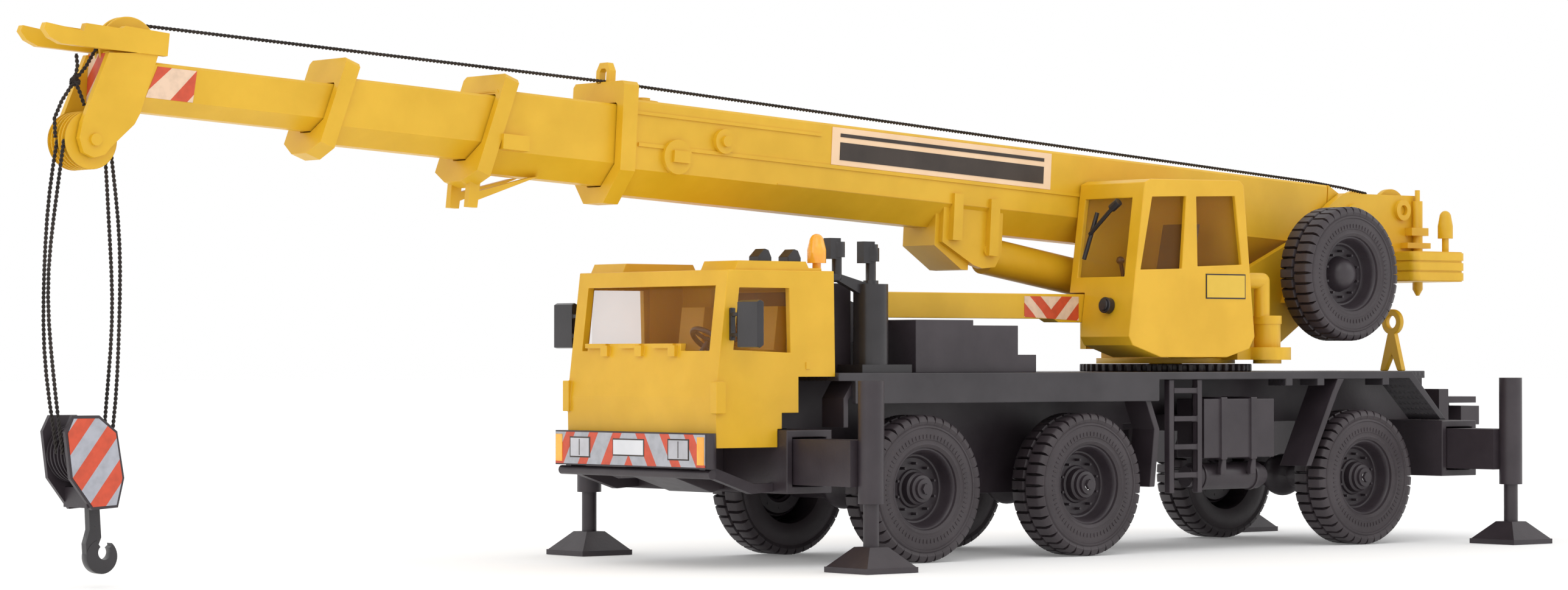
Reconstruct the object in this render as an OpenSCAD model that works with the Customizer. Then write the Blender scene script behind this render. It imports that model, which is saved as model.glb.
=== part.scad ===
// Toy crane truck in 1:87: a three-axle carrier with a slewing superstructure and a telescopic boom.
// X runs forward, Y to the vehicle's left and Z up. Lengths along the truck count from the second axle,
// and place() then brings the middle of the whole model to X = 0. The wheels and jack feet stand on Z = 0.

/* [Wheels] */
// Radius of a tyre over its tread
wheel_r = 8.2; // [7.6:0.1:8.8]
// Width of a tyre
tyre_w = 5.0; // [4:0.1:5.4]
// Radius of the rim seat inside a tyre
rim_r = 5.3; // [4.6:0.1:5.8]
// Depth of the tread lugs
lug_depth = 0.7; // [0.3:0.1:1]
// Lugs around one shoulder of a tyre
lug_count = 34; // [24:1:44]
// Distance over the outer sidewalls of one axle
track_w = 28.8; // [27.6:0.2:33]
// First axle, ahead of the second
axle1_x = 24.9; // [21:0.5:30]
// Third axle, behind the second
axle3_x = -46.3; // [-55:0.5:-40]
// Radius of a wheel axle
axle_r = 0.8; // [0.6:0.05:1]

/* [Carrier] */
// Width of the deck and the cab step
body_w = 28; // [26:0.2:33]
// Height of the deck's top face
deck_z = 21.1; // [20.6:0.1:24]
// Thickness of the deck plate
deck_t = 0.9; // [0.6:0.1:1.2]
// Rear end of the full-width deck
deck_rear = -54.9; // [-66:0.5:-54]
// Width across the two frame rails
rail_w = 10; // [8:0.2:12]
// Thickness of a frame rail
rail_t = 1.3; // [0.8:0.1:1.6]
// Wall of the driver's cab
cab_wall = 0.7; // [0.4:0.05:0.9]
// Thickness of the window panes
pane_t = 0.35; // [0.2:0.05:0.5]

/* [Outriggers] */
// Front outriggers, ahead of the second axle
jack1_x = 42.3; // [42:0.5:44]
// Rear outriggers, behind the second axle
jack2_x = -62.3; // [-74:0.5:-62]
// Centreline to a front foot
jack1_y = 25.2; // [23:0.2:30]
// Centreline to a rear foot
jack2_y = 23.2; // [22:0.2:28]
// Side of a square jack foot
foot_w = 7.1; // [5:0.1:7.6]
// Radius of a jack cylinder
jack_tube_r = 1.4; // [1.2:0.05:1.5]
// Radius of the leg that slides in it
jack_leg_r = 0.85; // [0.7:0.05:0.95]

/* [Superstructure] */
// Slewing axis, behind the second axle
slew_x = -26; // [-28:0.5:-24]
// Radius of the slewing ring over its teeth
ring_r = 10.4; // [9.4:0.2:12]
// Height of the crane cab above its platform
crane_cab_h = 20.8; // [19:0.2:23]
// Width of the crane cab
crane_cab_w = 10.9; // [9:0.1:11]
// Height of the three counterweight plates together
ballast_h = 3.75; // [3:0.15:4.5]
// Width of the counterweight
ballast_w = 22; // [20:0.5:27]

/* [Boom] */
// Boom's centreline, to the side of the slewing axis
boom_y = -1; // [-1.4:0.1:-1]
// Boom's angle above level
boom_angle = 3.4; // [3:0.1:5]
// Length of the base section from its pivot to the collar
base_len = 112.6; // [100:1:135]
// Half width of the base section
base_half = 3.85; // [3.7:0.05:4.05]
// Wall of the boom sections
boom_wall = 0.3; // [0.25:0.05:0.35]
// Second section drawn out of the base
draw2 = 13.2; // [12:0.1:16]
// Third section drawn out of the second
draw3 = 19.7; // [18:0.1:24]
// Fourth section drawn out of the third
draw4 = 24.7; // [22:0.1:28]

/* [Hook and rope] */
// Diameter of the hoist rope
rope_d = 0.4; // [0.3:0.05:0.5]
// Radius of the upper head sheave
sheave_top_r = 3.3; // [3:0.1:3.4]
// Radius of the lower head sheaves
sheave_low_r = 2.9; // [2.6:0.1:3.1]
// Height of the hook block's centre above the ground
block_z = 12.4; // [11:0.2:18]
// Half width of the hook block over its side plates
block_half = 2.5; // [2.3:0.1:2.8]

/* [Hidden] */
$fn = 48;

YELLOW = [0.86, 0.66, 0.16];
DARK = [0.28, 0.26, 0.27];
BLACK = [0.12, 0.11, 0.12];
TYRE = [0.22, 0.21, 0.22];
AMBER = [0.95, 0.6, 0.1];
GLASS = [0.7, 0.78, 0.8, 0.4];
ROPE = [0.16, 0.13, 0.12];

// Gap between pieces that move on each other, radial play of a pin, and how far pieces are sunk in a union
gap = 0.15;
play = 0.05;
bite = 0.2;

// Carrier
half_w = body_w / 2;
deck_under = deck_z - deck_t;
rail_top = deck_under;
rail_in = rail_w / 2 - rail_t;
cab_front = 54;
cab_rear = 37.4;
cab_half = half_w - 0.6;
roof_z = 32.2;
frame_front = 49.5;
tail_x = jack2_x - 4.2;
hitch_x = tail_x - 9.7;
wheel_out = track_w / 2;
wheel_in = wheel_out - tyre_w;
axles = [axle1_x, 0, axle3_x];

// Outriggers
beam_z = [9.05, 14.0];
beam_hx = 2.2;
box_wall = 0.8;
box_end = half_w + 0.9;
beam_in = box_end - 3.7;
box_z = [beam_z[0] - gap - box_wall, beam_z[1] + gap + box_wall];
box_hx = beam_hx + gap + box_wall;
box_front = jack1_x + box_hx + 0.05;
rail_z = box_z[1];
tube_z = [7.25, 20.3];
leg_top = 15.6;
foot_t = 0.6;
foot_h = 2.7;

// Superstructure
ring_z = deck_z + 0.9;
plat_z = [ring_z + 0.5, 24.0];
plate_in = base_half + 0.2;
plate_t = 1.0;
tower_rear = -66.9;
pivot = [-55, 40];
pivot_r = 1.2;
winch = [-63.7, 41.4];
winch_r = 2.75;
winch_core = 1.9;
cyl_foot = [slew_x - 5, 29.3];
cyl_pin_r = 0.8;
ballast_x = [-68.2, -58.6];
ballast_z = 32.3;
ballast_pin = [-66.2, plate_in + plate_t + 0.5];
ballast_pin_r = 0.65;
crane_cab_rear = -27.1;
crane_cab_y = [boom_y + base_half + 0.25, boom_y + base_half + 0.25 + crane_cab_w];
crane_cab_z = plat_z[0] + 0.3;
crane_cab_top = crane_cab_z + crane_cab_h;
arm_z = [26.9, 30.2];
arm_y = [boom_y + base_half + 0.2, boom_y + base_half + 2.8];
spare = [-45.2, 33];
spare_y = [8.2, 8.2 + tyre_w];
motor = [-32.3, 11];

// Boom, in its own frame: s along the boom from the pivot, h across it
base_top = 4.1;
base_low = -6.2;
sec2_half = base_half - boom_wall - gap;
sec3_half = sec2_half - boom_wall - gap;
sec4_half = sec3_half - boom_wall - gap;
sec2_top = 3.4;
sec2_low = -5.4;
sec3_top = 2.75;
sec3_low = -4.1;
sec4_top = 2.0;
sec4_low = -2.95;
collar_t = 1.8;
c1_s = base_len;
c2_s = c1_s + collar_t + draw2;
c3_s = c2_s + draw3;
head_s = c3_s + draw4;
head_pin = [head_s + 5.2, -6.32];
top_pin = [head_s + 0.9, 3.15];
head_pin_r = 0.6;
cheek_in = 1.9;
cheek_out = 2.6;
arm_out = 2.8;
luff_pin = [60.0, -8.4];
luff_pin_r = 0.6;
rope_r = rope_d / 2;
groove_y = [-1.4, -0.7, 0, 0.7, 1.4];
falls = [[1, 0], [1, 1.4], [-1, 0.7], [-1, -0.7]];
fall_r = sheave_low_r - 0.35 + rope_r + 0.03;
slant = 17;

// Hook block
function boom_x(s, h) = pivot[0] + s * cos(boom_angle) - h * sin(boom_angle);
function boom_z(s, h) = pivot[1] + s * sin(boom_angle) + h * cos(boom_angle);
fall_x = boom_x(head_pin[0], head_pin[1]);
fall_z = boom_z(head_pin[0], head_pin[1]);
block_x = fall_x;
block_pin_r = 0.7;
block_sheave_z = block_z + 0.9;
shank_r = 0.45;
hook_back = 1.2;

// Ends of the whole model, for its middle
arm_tip = [head_s + 11.6, 4.0];
front_x = boom_x(arm_tip[0], arm_tip[1]);
mid_x = (front_x + hitch_x) / 2;

module place() {
    translate([-mid_x, 0, 0]) children();
}

module both_sides() {
    children();
    mirror([0, 1, 0]) children();
}

module slab(x, y, z) {
    translate([x[0], y[0], z[0]]) cube([x[1] - x[0], y[1] - y[0], z[1] - z[0]]);
}

// A side view in X and Z, carried from y[0] to y[1]
module profile(points, y) {
    translate([0, y[1], 0]) rotate([90, 0, 0]) linear_extrude(y[1] - y[0]) polygon(points);
}

// A front view in Y and Z, carried from x[0] to x[1]
module section(points, x) {
    translate([x[0], 0, 0]) rotate([90, 0, 90]) linear_extrude(x[1] - x[0]) polygon(points);
}

module rod_y(x, z, r, y) {
    translate([x, y[1], z]) rotate([90, 0, 0]) cylinder(h = y[1] - y[0], r = r);
}

module rod_z(x, y, r, z) {
    translate([x, y, z[0]]) cylinder(h = z[1] - z[0], r = r);
}

module rod_x(y, z, r, x) {
    translate([x[0], y, z]) rotate([0, 90, 0]) cylinder(h = x[1] - x[0], r = r);
}

// Everything drawn in the boom's own frame
module on_boom() {
    translate([pivot[0], boom_y, pivot[1]]) rotate([0, -boom_angle, 0]) children();
}

// ---- Carrier ----

module chassis_frame() {
    color(DARK) place() {
        both_sides() slab([tail_x, frame_front], [rail_in, rail_in + rail_t], [rail_z, rail_top]);
        for (x = [tail_x + 1.5, -37, -12, 12, 34, frame_front - 1.5])
            slab([x - 1, x + 1], [-rail_in - bite, rail_in + bite], [rail_z + 1, rail_top - 1]);
        difference() {
            slab([slew_x - 4, slew_x + 4], [-rail_in - bite, rail_in + bite], [rail_top - 2.2, rail_top]);
            rod_z(slew_x, 0, 2 + play, [rail_top - 3, rail_top + 1]);
        }
        slab([tail_x - 1.6, tail_x + bite], [-8, 8], [14.4, 18.8]);
        slab([hitch_x + 0.6, tail_x - 1.4], [-6, 6], [17.0, 17.8]);
        slab([hitch_x, hitch_x + 3.5], [-6, 6], [14.2, 16.6]);
        slab([hitch_x + 1.2, tail_x - 1.4], [-2, 2], [14.8, 17.2]);
        profile([[box_front, 8.4], [47, 8.0], [53.0, 10.0], [53.0, 12.9], [52.4, rail_z + 1],
                 [box_front, rail_z + 1]], [-rail_in - bite, rail_in + bite]);
        both_sides() {
            slab([-14, box_front - 2 * box_hx - 1.8], [rail_in, rail_in + rail_t], [wheel_r + 1.4, rail_z + bite]);
            slab([axles[1] + 3, axles[0] - 3], [rail_in, rail_in + rail_t], [7.2, wheel_r + 1.6]);
        }
        for (x = axles) axle_bearer(x);
    }
}

// Axle tube with a differential, hung on two blocks from the rails
module axle_bearer(x) {
    difference() {
        union() {
            rod_y(x, wheel_r, 1.5, [-wheel_in + 0.7, wheel_in - 0.7]);
            translate([x, 0, wheel_r]) sphere(r = 2.6);
            both_sides() slab([x - 1.6, x + 1.6], [rail_in, rail_in + rail_t], [wheel_r, rail_z + bite]);
        }
        rod_y(x, wheel_r, axle_r + play, [-wheel_in, wheel_in]);
    }
}

module deck() {
    color(DARK) place() {
        difference() {
            union() {
                slab([deck_rear, cab_rear], [-half_w, half_w], [deck_under, deck_z]);
                slab([tail_x + 2.8, deck_rear + bite], [-8, 8], [deck_under, deck_z]);
            }
            rod_z(slew_x, 0, 2 + play, [deck_under - 1, deck_z + 1]);
        }
        both_sides() {
            slab([-11.3, 35], [half_w - 0.7, half_w], [17.7, deck_under + bite]);
            profile([[deck_rear + 0.9, deck_under + bite], [deck_rear - 5.0, 15.1], [deck_rear - 6.0, 15.1],
                     [deck_rear, deck_z - bite]], [8.6, half_w]);
            for (x = [-33, -38.5, -50])
                slab([x - 0.6, x + 0.6], [half_w - 3, half_w], [deck_under - 0.8, deck_under + bite]);
        }
    }
}

module mudguards() {
    color(DARK) place() both_sides() {
        profile([[33.6, deck_under], [34.8, deck_under], [36.1, 18.3], [36.1, 15.1],
                 [35.4, 15.1], [35.4, 18.1]], [half_w - 4.5, half_w - 0.75]);
        profile([[-9.6, deck_under], [-8.8, deck_under], [-11.2, 14.4], [-10.4, 7.7],
                 [-11.2, 7.7], [-12, 14.4]], [half_w - 4.5, half_w - 0.75]);
        profile([[-42.6, deck_under], [-41.4, deck_under], [-40.7, 18.9], [-35.9, 9.7],
                 [-36.8, 9.7], [-41.5, 18.6]], [half_w - 4.5, half_w]);
    }
}

// Bumper bar, with a round guard below that runs back along both sides
module front_bumper() {
    color(DARK) place() {
        slab([cab_front + 0.1, cab_front + 1.5], [-half_w + 0.4, half_w - 0.4], [10.9, 14.7]);
        both_sides() {
            rod_z(cab_front + 0.8, half_w - 0.7, 0.7, [10.9, 14.7]);
            profile([[54.8, 9.9], [54.8, 11.1], [53.8, 11.1], [48.2, 9.2], [box_front, 9.2],
                     [box_front, 8.3], [48.4, 8.1], [53.8, 9.9]], [half_w - 2.4, half_w - 1.4]);
            slab([53.0, cab_front + 0.3], [1.5, 3.5], [10.9, 12.6]);
        }
        rod_y(cab_front + 0.6, 10.3, 0.5, [-half_w + 0.4, half_w - 0.4]);
    }
}

// Outline of the driver's cab, drawn in by d on every side but the bottom
function cab_outline(d) = [
    [44.9 + d, 13.1 - (d > 0 ? 1 : 0)], [53.9 - d, 13.1 - (d > 0 ? 1 : 0)], [cab_front - d, 18.5],
    [52.3 - d, roof_z - d], [cab_rear + 0.2 + d, roof_z - d], [cab_rear + d, 20.7 - (d > 0 ? 1 : 0)],
    [42.6 + d, 20.7 - (d > 0 ? 1 : 0)], [42.6 + d, 16.8 - (d > 0 ? 1 : 0)], [44.9 + d, 16.8 - (d > 0 ? 1 : 0)]
];
windshield = [11.5, 23.5, 30.5];
side_window = [[43.7, 23.3], [51.6, 23.6], [50.8, 30.3], [43.9, 30.3]];
rear_window = [6.5, 24.5, 30];

module cab_shell() {
    color(YELLOW) place() difference() {
        union() {
            profile(cab_outline(0), [-cab_half, cab_half]);
            both_sides() {
                profile([[39.0, roof_z - bite], [51.2, roof_z - bite], [50.6, roof_z + 1], [41.2, roof_z + 1],
                         [40.8, roof_z + 0.3], [39.0, roof_z + 0.3]], [7, cab_half - 0.4]);
                slab([53.0, cab_front + 0.3], [cab_half - 0.6, cab_half + 0.5], [16.8, 20.2]);
                slab([cab_rear + 3.6, cab_rear + 4.2], [cab_half - 0.2, cab_half + 0.12], [21.5, 22.3]);
            }
            for (y = [-8.6, -2.4, 3.6]) {
                slab([cab_front - 1.3, cab_front - 0.2], [y - 1.8, y + 2.0], [23.8, 24.3]);
                slab([cab_front - 1.0, cab_front - 0.1], [y + 1.2, y + 2.4], [22.9, 24.1]);
            }
        }
        profile(cab_outline(cab_wall), [-cab_half + cab_wall, cab_half - cab_wall]);
        slab([50, cab_front + 1], [-windshield[0], windshield[0]], [24.3, windshield[2]]);
        slab([50, cab_front + 1], [-windshield[0], -10.5], [windshield[1], 24.4]);
        slab([50, cab_front + 1], [6.4, windshield[0]], [windshield[1], 24.4]);
        slab([cab_rear - 1, cab_rear + 2], [-rear_window[0], rear_window[0]], [rear_window[1], rear_window[2]]);
        profile(side_window, [-cab_half - 1, cab_half + 1]);
        slab([44, box_front], [-half_w, half_w], [12, box_z[1] + 0.1]);
        slab([42, 46], [-rail_w / 2 - 0.2, rail_w / 2 + 0.2], [12, 20.3]);
    }
}

module cab_glazing() {
    color(GLASS) place() {
        profile([[53.35 - cab_wall - pane_t, 23], [53.35 - cab_wall, 23], [52.3 - cab_wall, 31],
                 [52.3 - cab_wall - pane_t, 31]], [-windshield[0] - 0.4, windshield[0] + 0.4]);
        both_sides() slab([43.2, 51.2], [cab_half - cab_wall - pane_t, cab_half - cab_wall], [23.0, 30.6]);
        slab([cab_rear + cab_wall + 0.3, cab_rear + cab_wall + 0.3 + pane_t],
             [-rear_window[0] - 0.4, rear_window[0] + 0.4], [rear_window[1] - 0.4, rear_window[2] + 0.4]);
    }
}

// Floor with the dashboard and two seats
module cab_interior() {
    seat_y = 6.5;
    color(BLACK) place() {
        slab([cab_rear + 1.2, 52.2], [-cab_half + 1, cab_half - 1], [deck_z, deck_z + 0.7]);
        slab([50.4, 52.2], [-cab_half + 1, cab_half - 1], [deck_z, 22.9]);
        slab([frame_front - 11, frame_front - 0.5], [-rail_in, rail_in], [rail_top, deck_z + bite]);
        both_sides() {
            slab([42, 46.5], [seat_y - 2.2, seat_y + 2.2], [deck_z, 23.6]);
            profile([[40.6, 22], [42.4, 22], [41.6, 28.4], [40.2, 28.4]], [seat_y - 2.1, seat_y + 2.1]);
        }
    }
}

module steering_wheel() {
    color(BLACK) place() translate([49.6, 6.5, 24.6]) rotate([0, -40, 0]) {
        rotate_extrude() translate([2.0, 0]) circle(r = 0.28, $fn = 16);
        translate([0, 0, -0.2]) cylinder(h = 0.4, r = 0.5);
        for (a = [90, 210, 330]) rotate([0, 0, a]) translate([0, -0.2, -0.15]) cube([2, 0.4, 0.3]);
        translate([0, 0, -1.85]) cylinder(h = 1.85, r = 0.25);
    }
}

module cab_mirrors() {
    plate_y = [half_w + 0.9, half_w + 4.4];
    color(BLACK) place() both_sides() {
        profile([[51.4, 24.1], [51.9, 23.8], [52.3, 23.9], [52.3, 28.7], [51.9, 28.9], [51.4, 28.7]], plate_y);
        slab([51.6, 52.2], [cab_half, plate_y[0] + 2], [27.2, 27.6]);
        slab([51.6, 52.2], [cab_half, plate_y[0] + 2], [25.0, 25.4]);
        slab([51.6, 52.2], [cab_half, cab_half + 0.4], [24.6, 28.1]);
    }
}

// Stalk, socket and dome of a rotating beacon
module beacon(dome_r, stalk_h, dome_h) {
    cylinder(h = stalk_h + bite, r = dome_r * 0.45);
    translate([0, 0, stalk_h]) cylinder(h = dome_h * 0.45, r = dome_r);
    translate([0, 0, stalk_h + dome_h * 0.45]) cylinder(h = dome_h * 0.55 - dome_r * 0.5, r1 = dome_r, r2 = dome_r * 0.72);
    translate([0, 0, stalk_h + dome_h - dome_r * 0.72]) sphere(r = dome_r * 0.72);
}

module cab_beacon() {
    color(AMBER) place() translate([38.4, 11.4, roof_z]) beacon(1.05, 0.9, 3.2);
}

module roof_horns() {
    top = roof_z + 1;
    color(BLACK) place() for (x = [42.3, 46.4])
        profile([[x - 0.9, top], [x + 0.9, top], [x + 0.9, top + 0.5], [x, top + 1.35], [x - 0.5, top + 1.2],
                 [x - 0.9, top + 0.4]], [10.6, 12.4]);
}

// Covers over the crane engine, with the tall box and a sloping duct behind the cab
module engine_cover() {
    cover_half = half_w - 1.5;
    color(DARK) place() difference() {
        union() {
            slab([16.4, 25.0], [-cover_half, cover_half], [deck_z, 27.0]);
            slab([9.6, 16.4 + bite], [-cover_half, cover_half], [deck_z, 26.4]);
            slab([6.8, 9.6 + bite], [-cover_half, cover_half], [deck_z, 23.1]);
            profile([[24.8, 26.6], [24.8, 27.0], [31.2, 29.4], [31.2, 24]], [2.4, 7.6]);
            slab([31, 36.8], [-cover_half + 2, 8.4], [deck_z, 31.0]);
        }
        slab([31.5, 36.3], [-cover_half + 2.5, 7.9], [deck_z - 1, 30.4]);
        slab([8, 24.4], [-cover_half + 0.6, cover_half - 0.6], [deck_z - 1, 22.5]);
    }
}

// Upright filter on its base, with two capped intake pipes
module air_filter() {
    fx = 30.3;
    fy = half_w - 3;
    color(DARK) place() {
        slab([26, 33.2], [fy - 2.2, fy + 2], [deck_z, deck_z + 0.9]);
        rod_z(fx, fy, 1.95, [deck_z + 0.8, 30.9]);
        rod_z(fx, fy, 0.57, [30.8, 34]);
        rod_z(fx, fy, 0.85, [30.8, 31.3]);
        rod_z(fx, fy, 0.95, [33.4, 34.9]);
        rod_z(fx, fy, 0.8, [34.8, 35.3]);
        slab([fx - 0.1, fx + 1.5], [fy - 0.6, fy + 0.6], [33.2, 35.6]);
        rod_x(fy, 31.6, 0.55, [cab_rear - 2.2, cab_rear]);
        translate([cab_rear - 2.2, fy, 31.6]) sphere(r = 0.55);
        rod_z(cab_rear - 2.2, fy, 0.55, [31.6, 34.4]);
        rod_z(cab_rear - 2.2, fy, 0.9, [33.8, 35.5]);
        slab([cab_rear - 2.3, cab_rear - 0.8], [fy - 0.6, fy + 0.6], [33.6, 35.9]);
        profile([[fx, 29.0], [fx, 30.8], [cab_rear - 2.2, 32], [cab_rear - 1.7, 31.4]], [fy - 0.4, fy + 0.4]);
    }
}

// Fuel tank on the left and tool box on the right, each held by two straps
module side_boxes() {
    color(DARK) place() both_sides() {
        slab([-31.0, -19.2], [half_w - 5.2, half_w - 0.6], [10.9, 17.9]);
        slab([-31.0, -19.2], [rail_in + rail_t, half_w - 5.1], [14, 16]);
        for (x = [-22.4, -27.4]) {
            slab([x - 0.5, x + 0.5], [half_w - 5.4, half_w - 0.4], [10.7, 18.1]);
            profile([[x - 0.5, 8.9], [x + 0.4, 8.9], [x + 0.4, 9.6], [x + 0.1, 10.8], [x - 0.5, 10.8]],
                    [half_w - 1.3, half_w - 0.6]);
        }
    }
}

module air_tanks() {
    tank_y = half_w - 3;
    color(DARK) place() both_sides() {
        rod_x(tank_y, 8.7, 1.6, [-30.2, -19.2]);
        rod_x(tank_y, 8.7, 1.25, [-31, -18.4]);
        for (x = [-20.4, -29]) rod_x(tank_y, 8.7, 1.75, [x - 0.2, x + 0.2]);
        slab([-25.4, -24.6], [rail_in + rail_t, tank_y], [8.2, 9.2]);
        slab([-25.4, -24.6], [rail_in + rail_t, rail_in + rail_t + 0.8], [8.2, 13.95]);
    }
}

module ladders() {
    foot_x = -18.2;
    head_x = -13.6;
    color(DARK) place() both_sides() {
        for (x = [foot_x, head_x]) slab([x - 0.4, x + 0.4], [half_w - 1.2, half_w - 0.3], [6.9, deck_under]);
        for (z = [9.0, 12.3, 15.6, 18.9])
            slab([foot_x, head_x], [half_w - 1.1, half_w - 0.4], [z - 0.3, z + 0.3]);
    }
}

// A box across the frame at each pair of outriggers, open at both ends for the beams
module outrigger_box(x) {
    difference() {
        slab([x - box_hx, x + box_hx], [-box_end, box_end], box_z);
        slab([x - beam_hx - gap, x + beam_hx + gap], [-box_end - 1, -0.4], [beam_z[0] - gap, beam_z[1] + gap]);
        slab([x - beam_hx - gap, x + beam_hx + gap], [0.4, box_end + 1], [beam_z[0] - gap, beam_z[1] + gap]);
    }
}

module outrigger_boxes() {
    color(DARK) place() {
        outrigger_box(jack1_x);
        outrigger_box(jack2_x);
    }
}

module outrigger_beam(x, y) {
    color(DARK) place() difference() {
        union() {
            slab([x - beam_hx, x + beam_hx], [beam_in, y - jack_tube_r * 0.6], beam_z);
            rod_z(x, y, jack_tube_r, tube_z);
            slab([x - 0.6, x + 0.6], [y - 2, y], beam_z);
        }
        rod_z(x, y, jack_leg_r + play, [tube_z[0] - 1, tube_z[1] - 0.5]);
        slab([x - beam_hx + 0.7, x + beam_hx - 0.7], [beam_in - 1, y - 3.4], [beam_z[0] + 0.7, beam_z[1] - 0.7]);
    }
}

module jack_leg(x, y) {
    color(DARK) place() {
        rod_z(x, y, jack_leg_r, [foot_t, leg_top]);
        slab([x - foot_w / 2, x + foot_w / 2], [y - foot_w / 2, y + foot_w / 2], [0, foot_t]);
        translate([x, y, foot_t]) linear_extrude(foot_h - foot_t, scale = 0.38)
            square([foot_w - 0.3, foot_w - 0.3], center = true);
    }
}

// Two legs and a ring in which the hook is made fast for the road
module hook_stand() {
    x = [deck_rear - 6.5, deck_rear - 5.8];
    y = 5;
    color(YELLOW) place() difference() {
        union() {
            section([[y - 1.85, deck_z], [y - 1.05, deck_z], [y + 0.1, 23.2], [y + 1.05, deck_z],
                     [y + 1.85, deck_z], [y + 0.5, 26], [y - 0.5, 26]], x);
            rod_x(y, deck_z + 6.15, 1.6, x);
        }
        rod_x(y, deck_z + 6.15, 0.8, [x[0] - 1, x[1] + 1]);
    }
}

module ring_gear() {
    teeth = 52;
    color(BLACK) place() translate([slew_x, 0, deck_z]) linear_extrude(ring_z - deck_z) difference() {
        union() {
            circle(r = ring_r - 0.5, $fn = 104);
            for (i = [0:teeth - 1]) rotate(i * 360 / teeth)
                polygon([[ring_r - 0.8, -0.38], [ring_r, -0.24], [ring_r, 0.24], [ring_r - 0.8, 0.38]]);
        }
        circle(r = ring_r - 2.4, $fn = 96);
    }
}

// ---- Wheels ----

// Half section of a tyre: radius, then width
function tyre_section() = [
    [rim_r, 0.5], [rim_r + 0.6, 0.15], [wheel_r - 1.1, 0], [wheel_r - lug_depth, 0.35],
    [wheel_r - lug_depth, tyre_w - 0.35], [wheel_r - 1.1, tyre_w], [rim_r + 0.6, tyre_w - 0.15],
    [rim_r, tyre_w - 0.5]
];

module tread_row(z, phase) {
    lug_arc = 360 / lug_count;
    translate([0, 0, z]) linear_extrude(tyre_w * 0.4) for (i = [0:lug_count - 1])
        rotate(i * lug_arc + phase) translate([wheel_r - lug_depth - 0.1, -wheel_r * lug_arc / 115 * 0.56])
            square([lug_depth + 0.1, wheel_r * lug_arc / 57.5 * 0.56]);
}

// Tyre on the Z axis with its inner face at 0
module tyre() {
    rotate_extrude($fn = 96) polygon(tyre_section());
    tread_row(0.45, 0);
    tread_row(tyre_w * 0.6 - 0.45, 360 / lug_count / 2);
}

// Dished rim on the Z axis, its outer side towards +Z
module rim() {
    difference() {
        cylinder(h = tyre_w - 0.9, r = rim_r, $fn = 96);
        translate([0, 0, tyre_w - 0.9 - 0.5]) cylinder(h = 1, r = 4.3);
        translate([0, 0, tyre_w - 0.9 - 2.0]) cylinder(h = 2.2, r1 = 3.3, r2 = 3.9);
    }
    translate([0, 0, 1]) cylinder(h = 1.9, r = 1.9);
    translate([0, 0, 1]) cylinder(h = 2.4, r = 1.3);
    translate([0, 0, 1]) cylinder(h = 2.9, r = 0.7);
    for (i = [0:9]) rotate(i * 36) translate([2.75, 0, 1.6]) cylinder(h = 0.8, r = 0.22, $fn = 16);
}

// The left wheel's inner face on the plane y = 0, facing inwards
module as_wheel(x, y) {
    translate([x, y, wheel_r]) rotate([-90, 0, 0]) children();
}

module wheelset(x) {
    color(DARK) place() {
        both_sides() as_wheel(x, wheel_in + 0.45) rim();
        rod_y(x, wheel_r, axle_r, [-wheel_in - 1.2, wheel_in + 1.2]);
    }
}

module tyres(x) {
    color(TYRE) place() both_sides() as_wheel(x, wheel_in) tyre();
}

// ---- Superstructure ----

tower_side = [
    [-17.5, plat_z[1] - bite], [-40.5, plat_z[1] - bite], [-56.9, 34.2], [-56.9, 36.3], [tower_rear, 36.3],
    [tower_rear, 43.3], [-53.2, 43.3], [-51.0, 42.0], [-46, 38.0], [-28.5, arm_z[1] + 0.1], [-17.5, arm_z[1]]
];

module tower_plate(y) {
    profile(tower_side, y);
}

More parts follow.
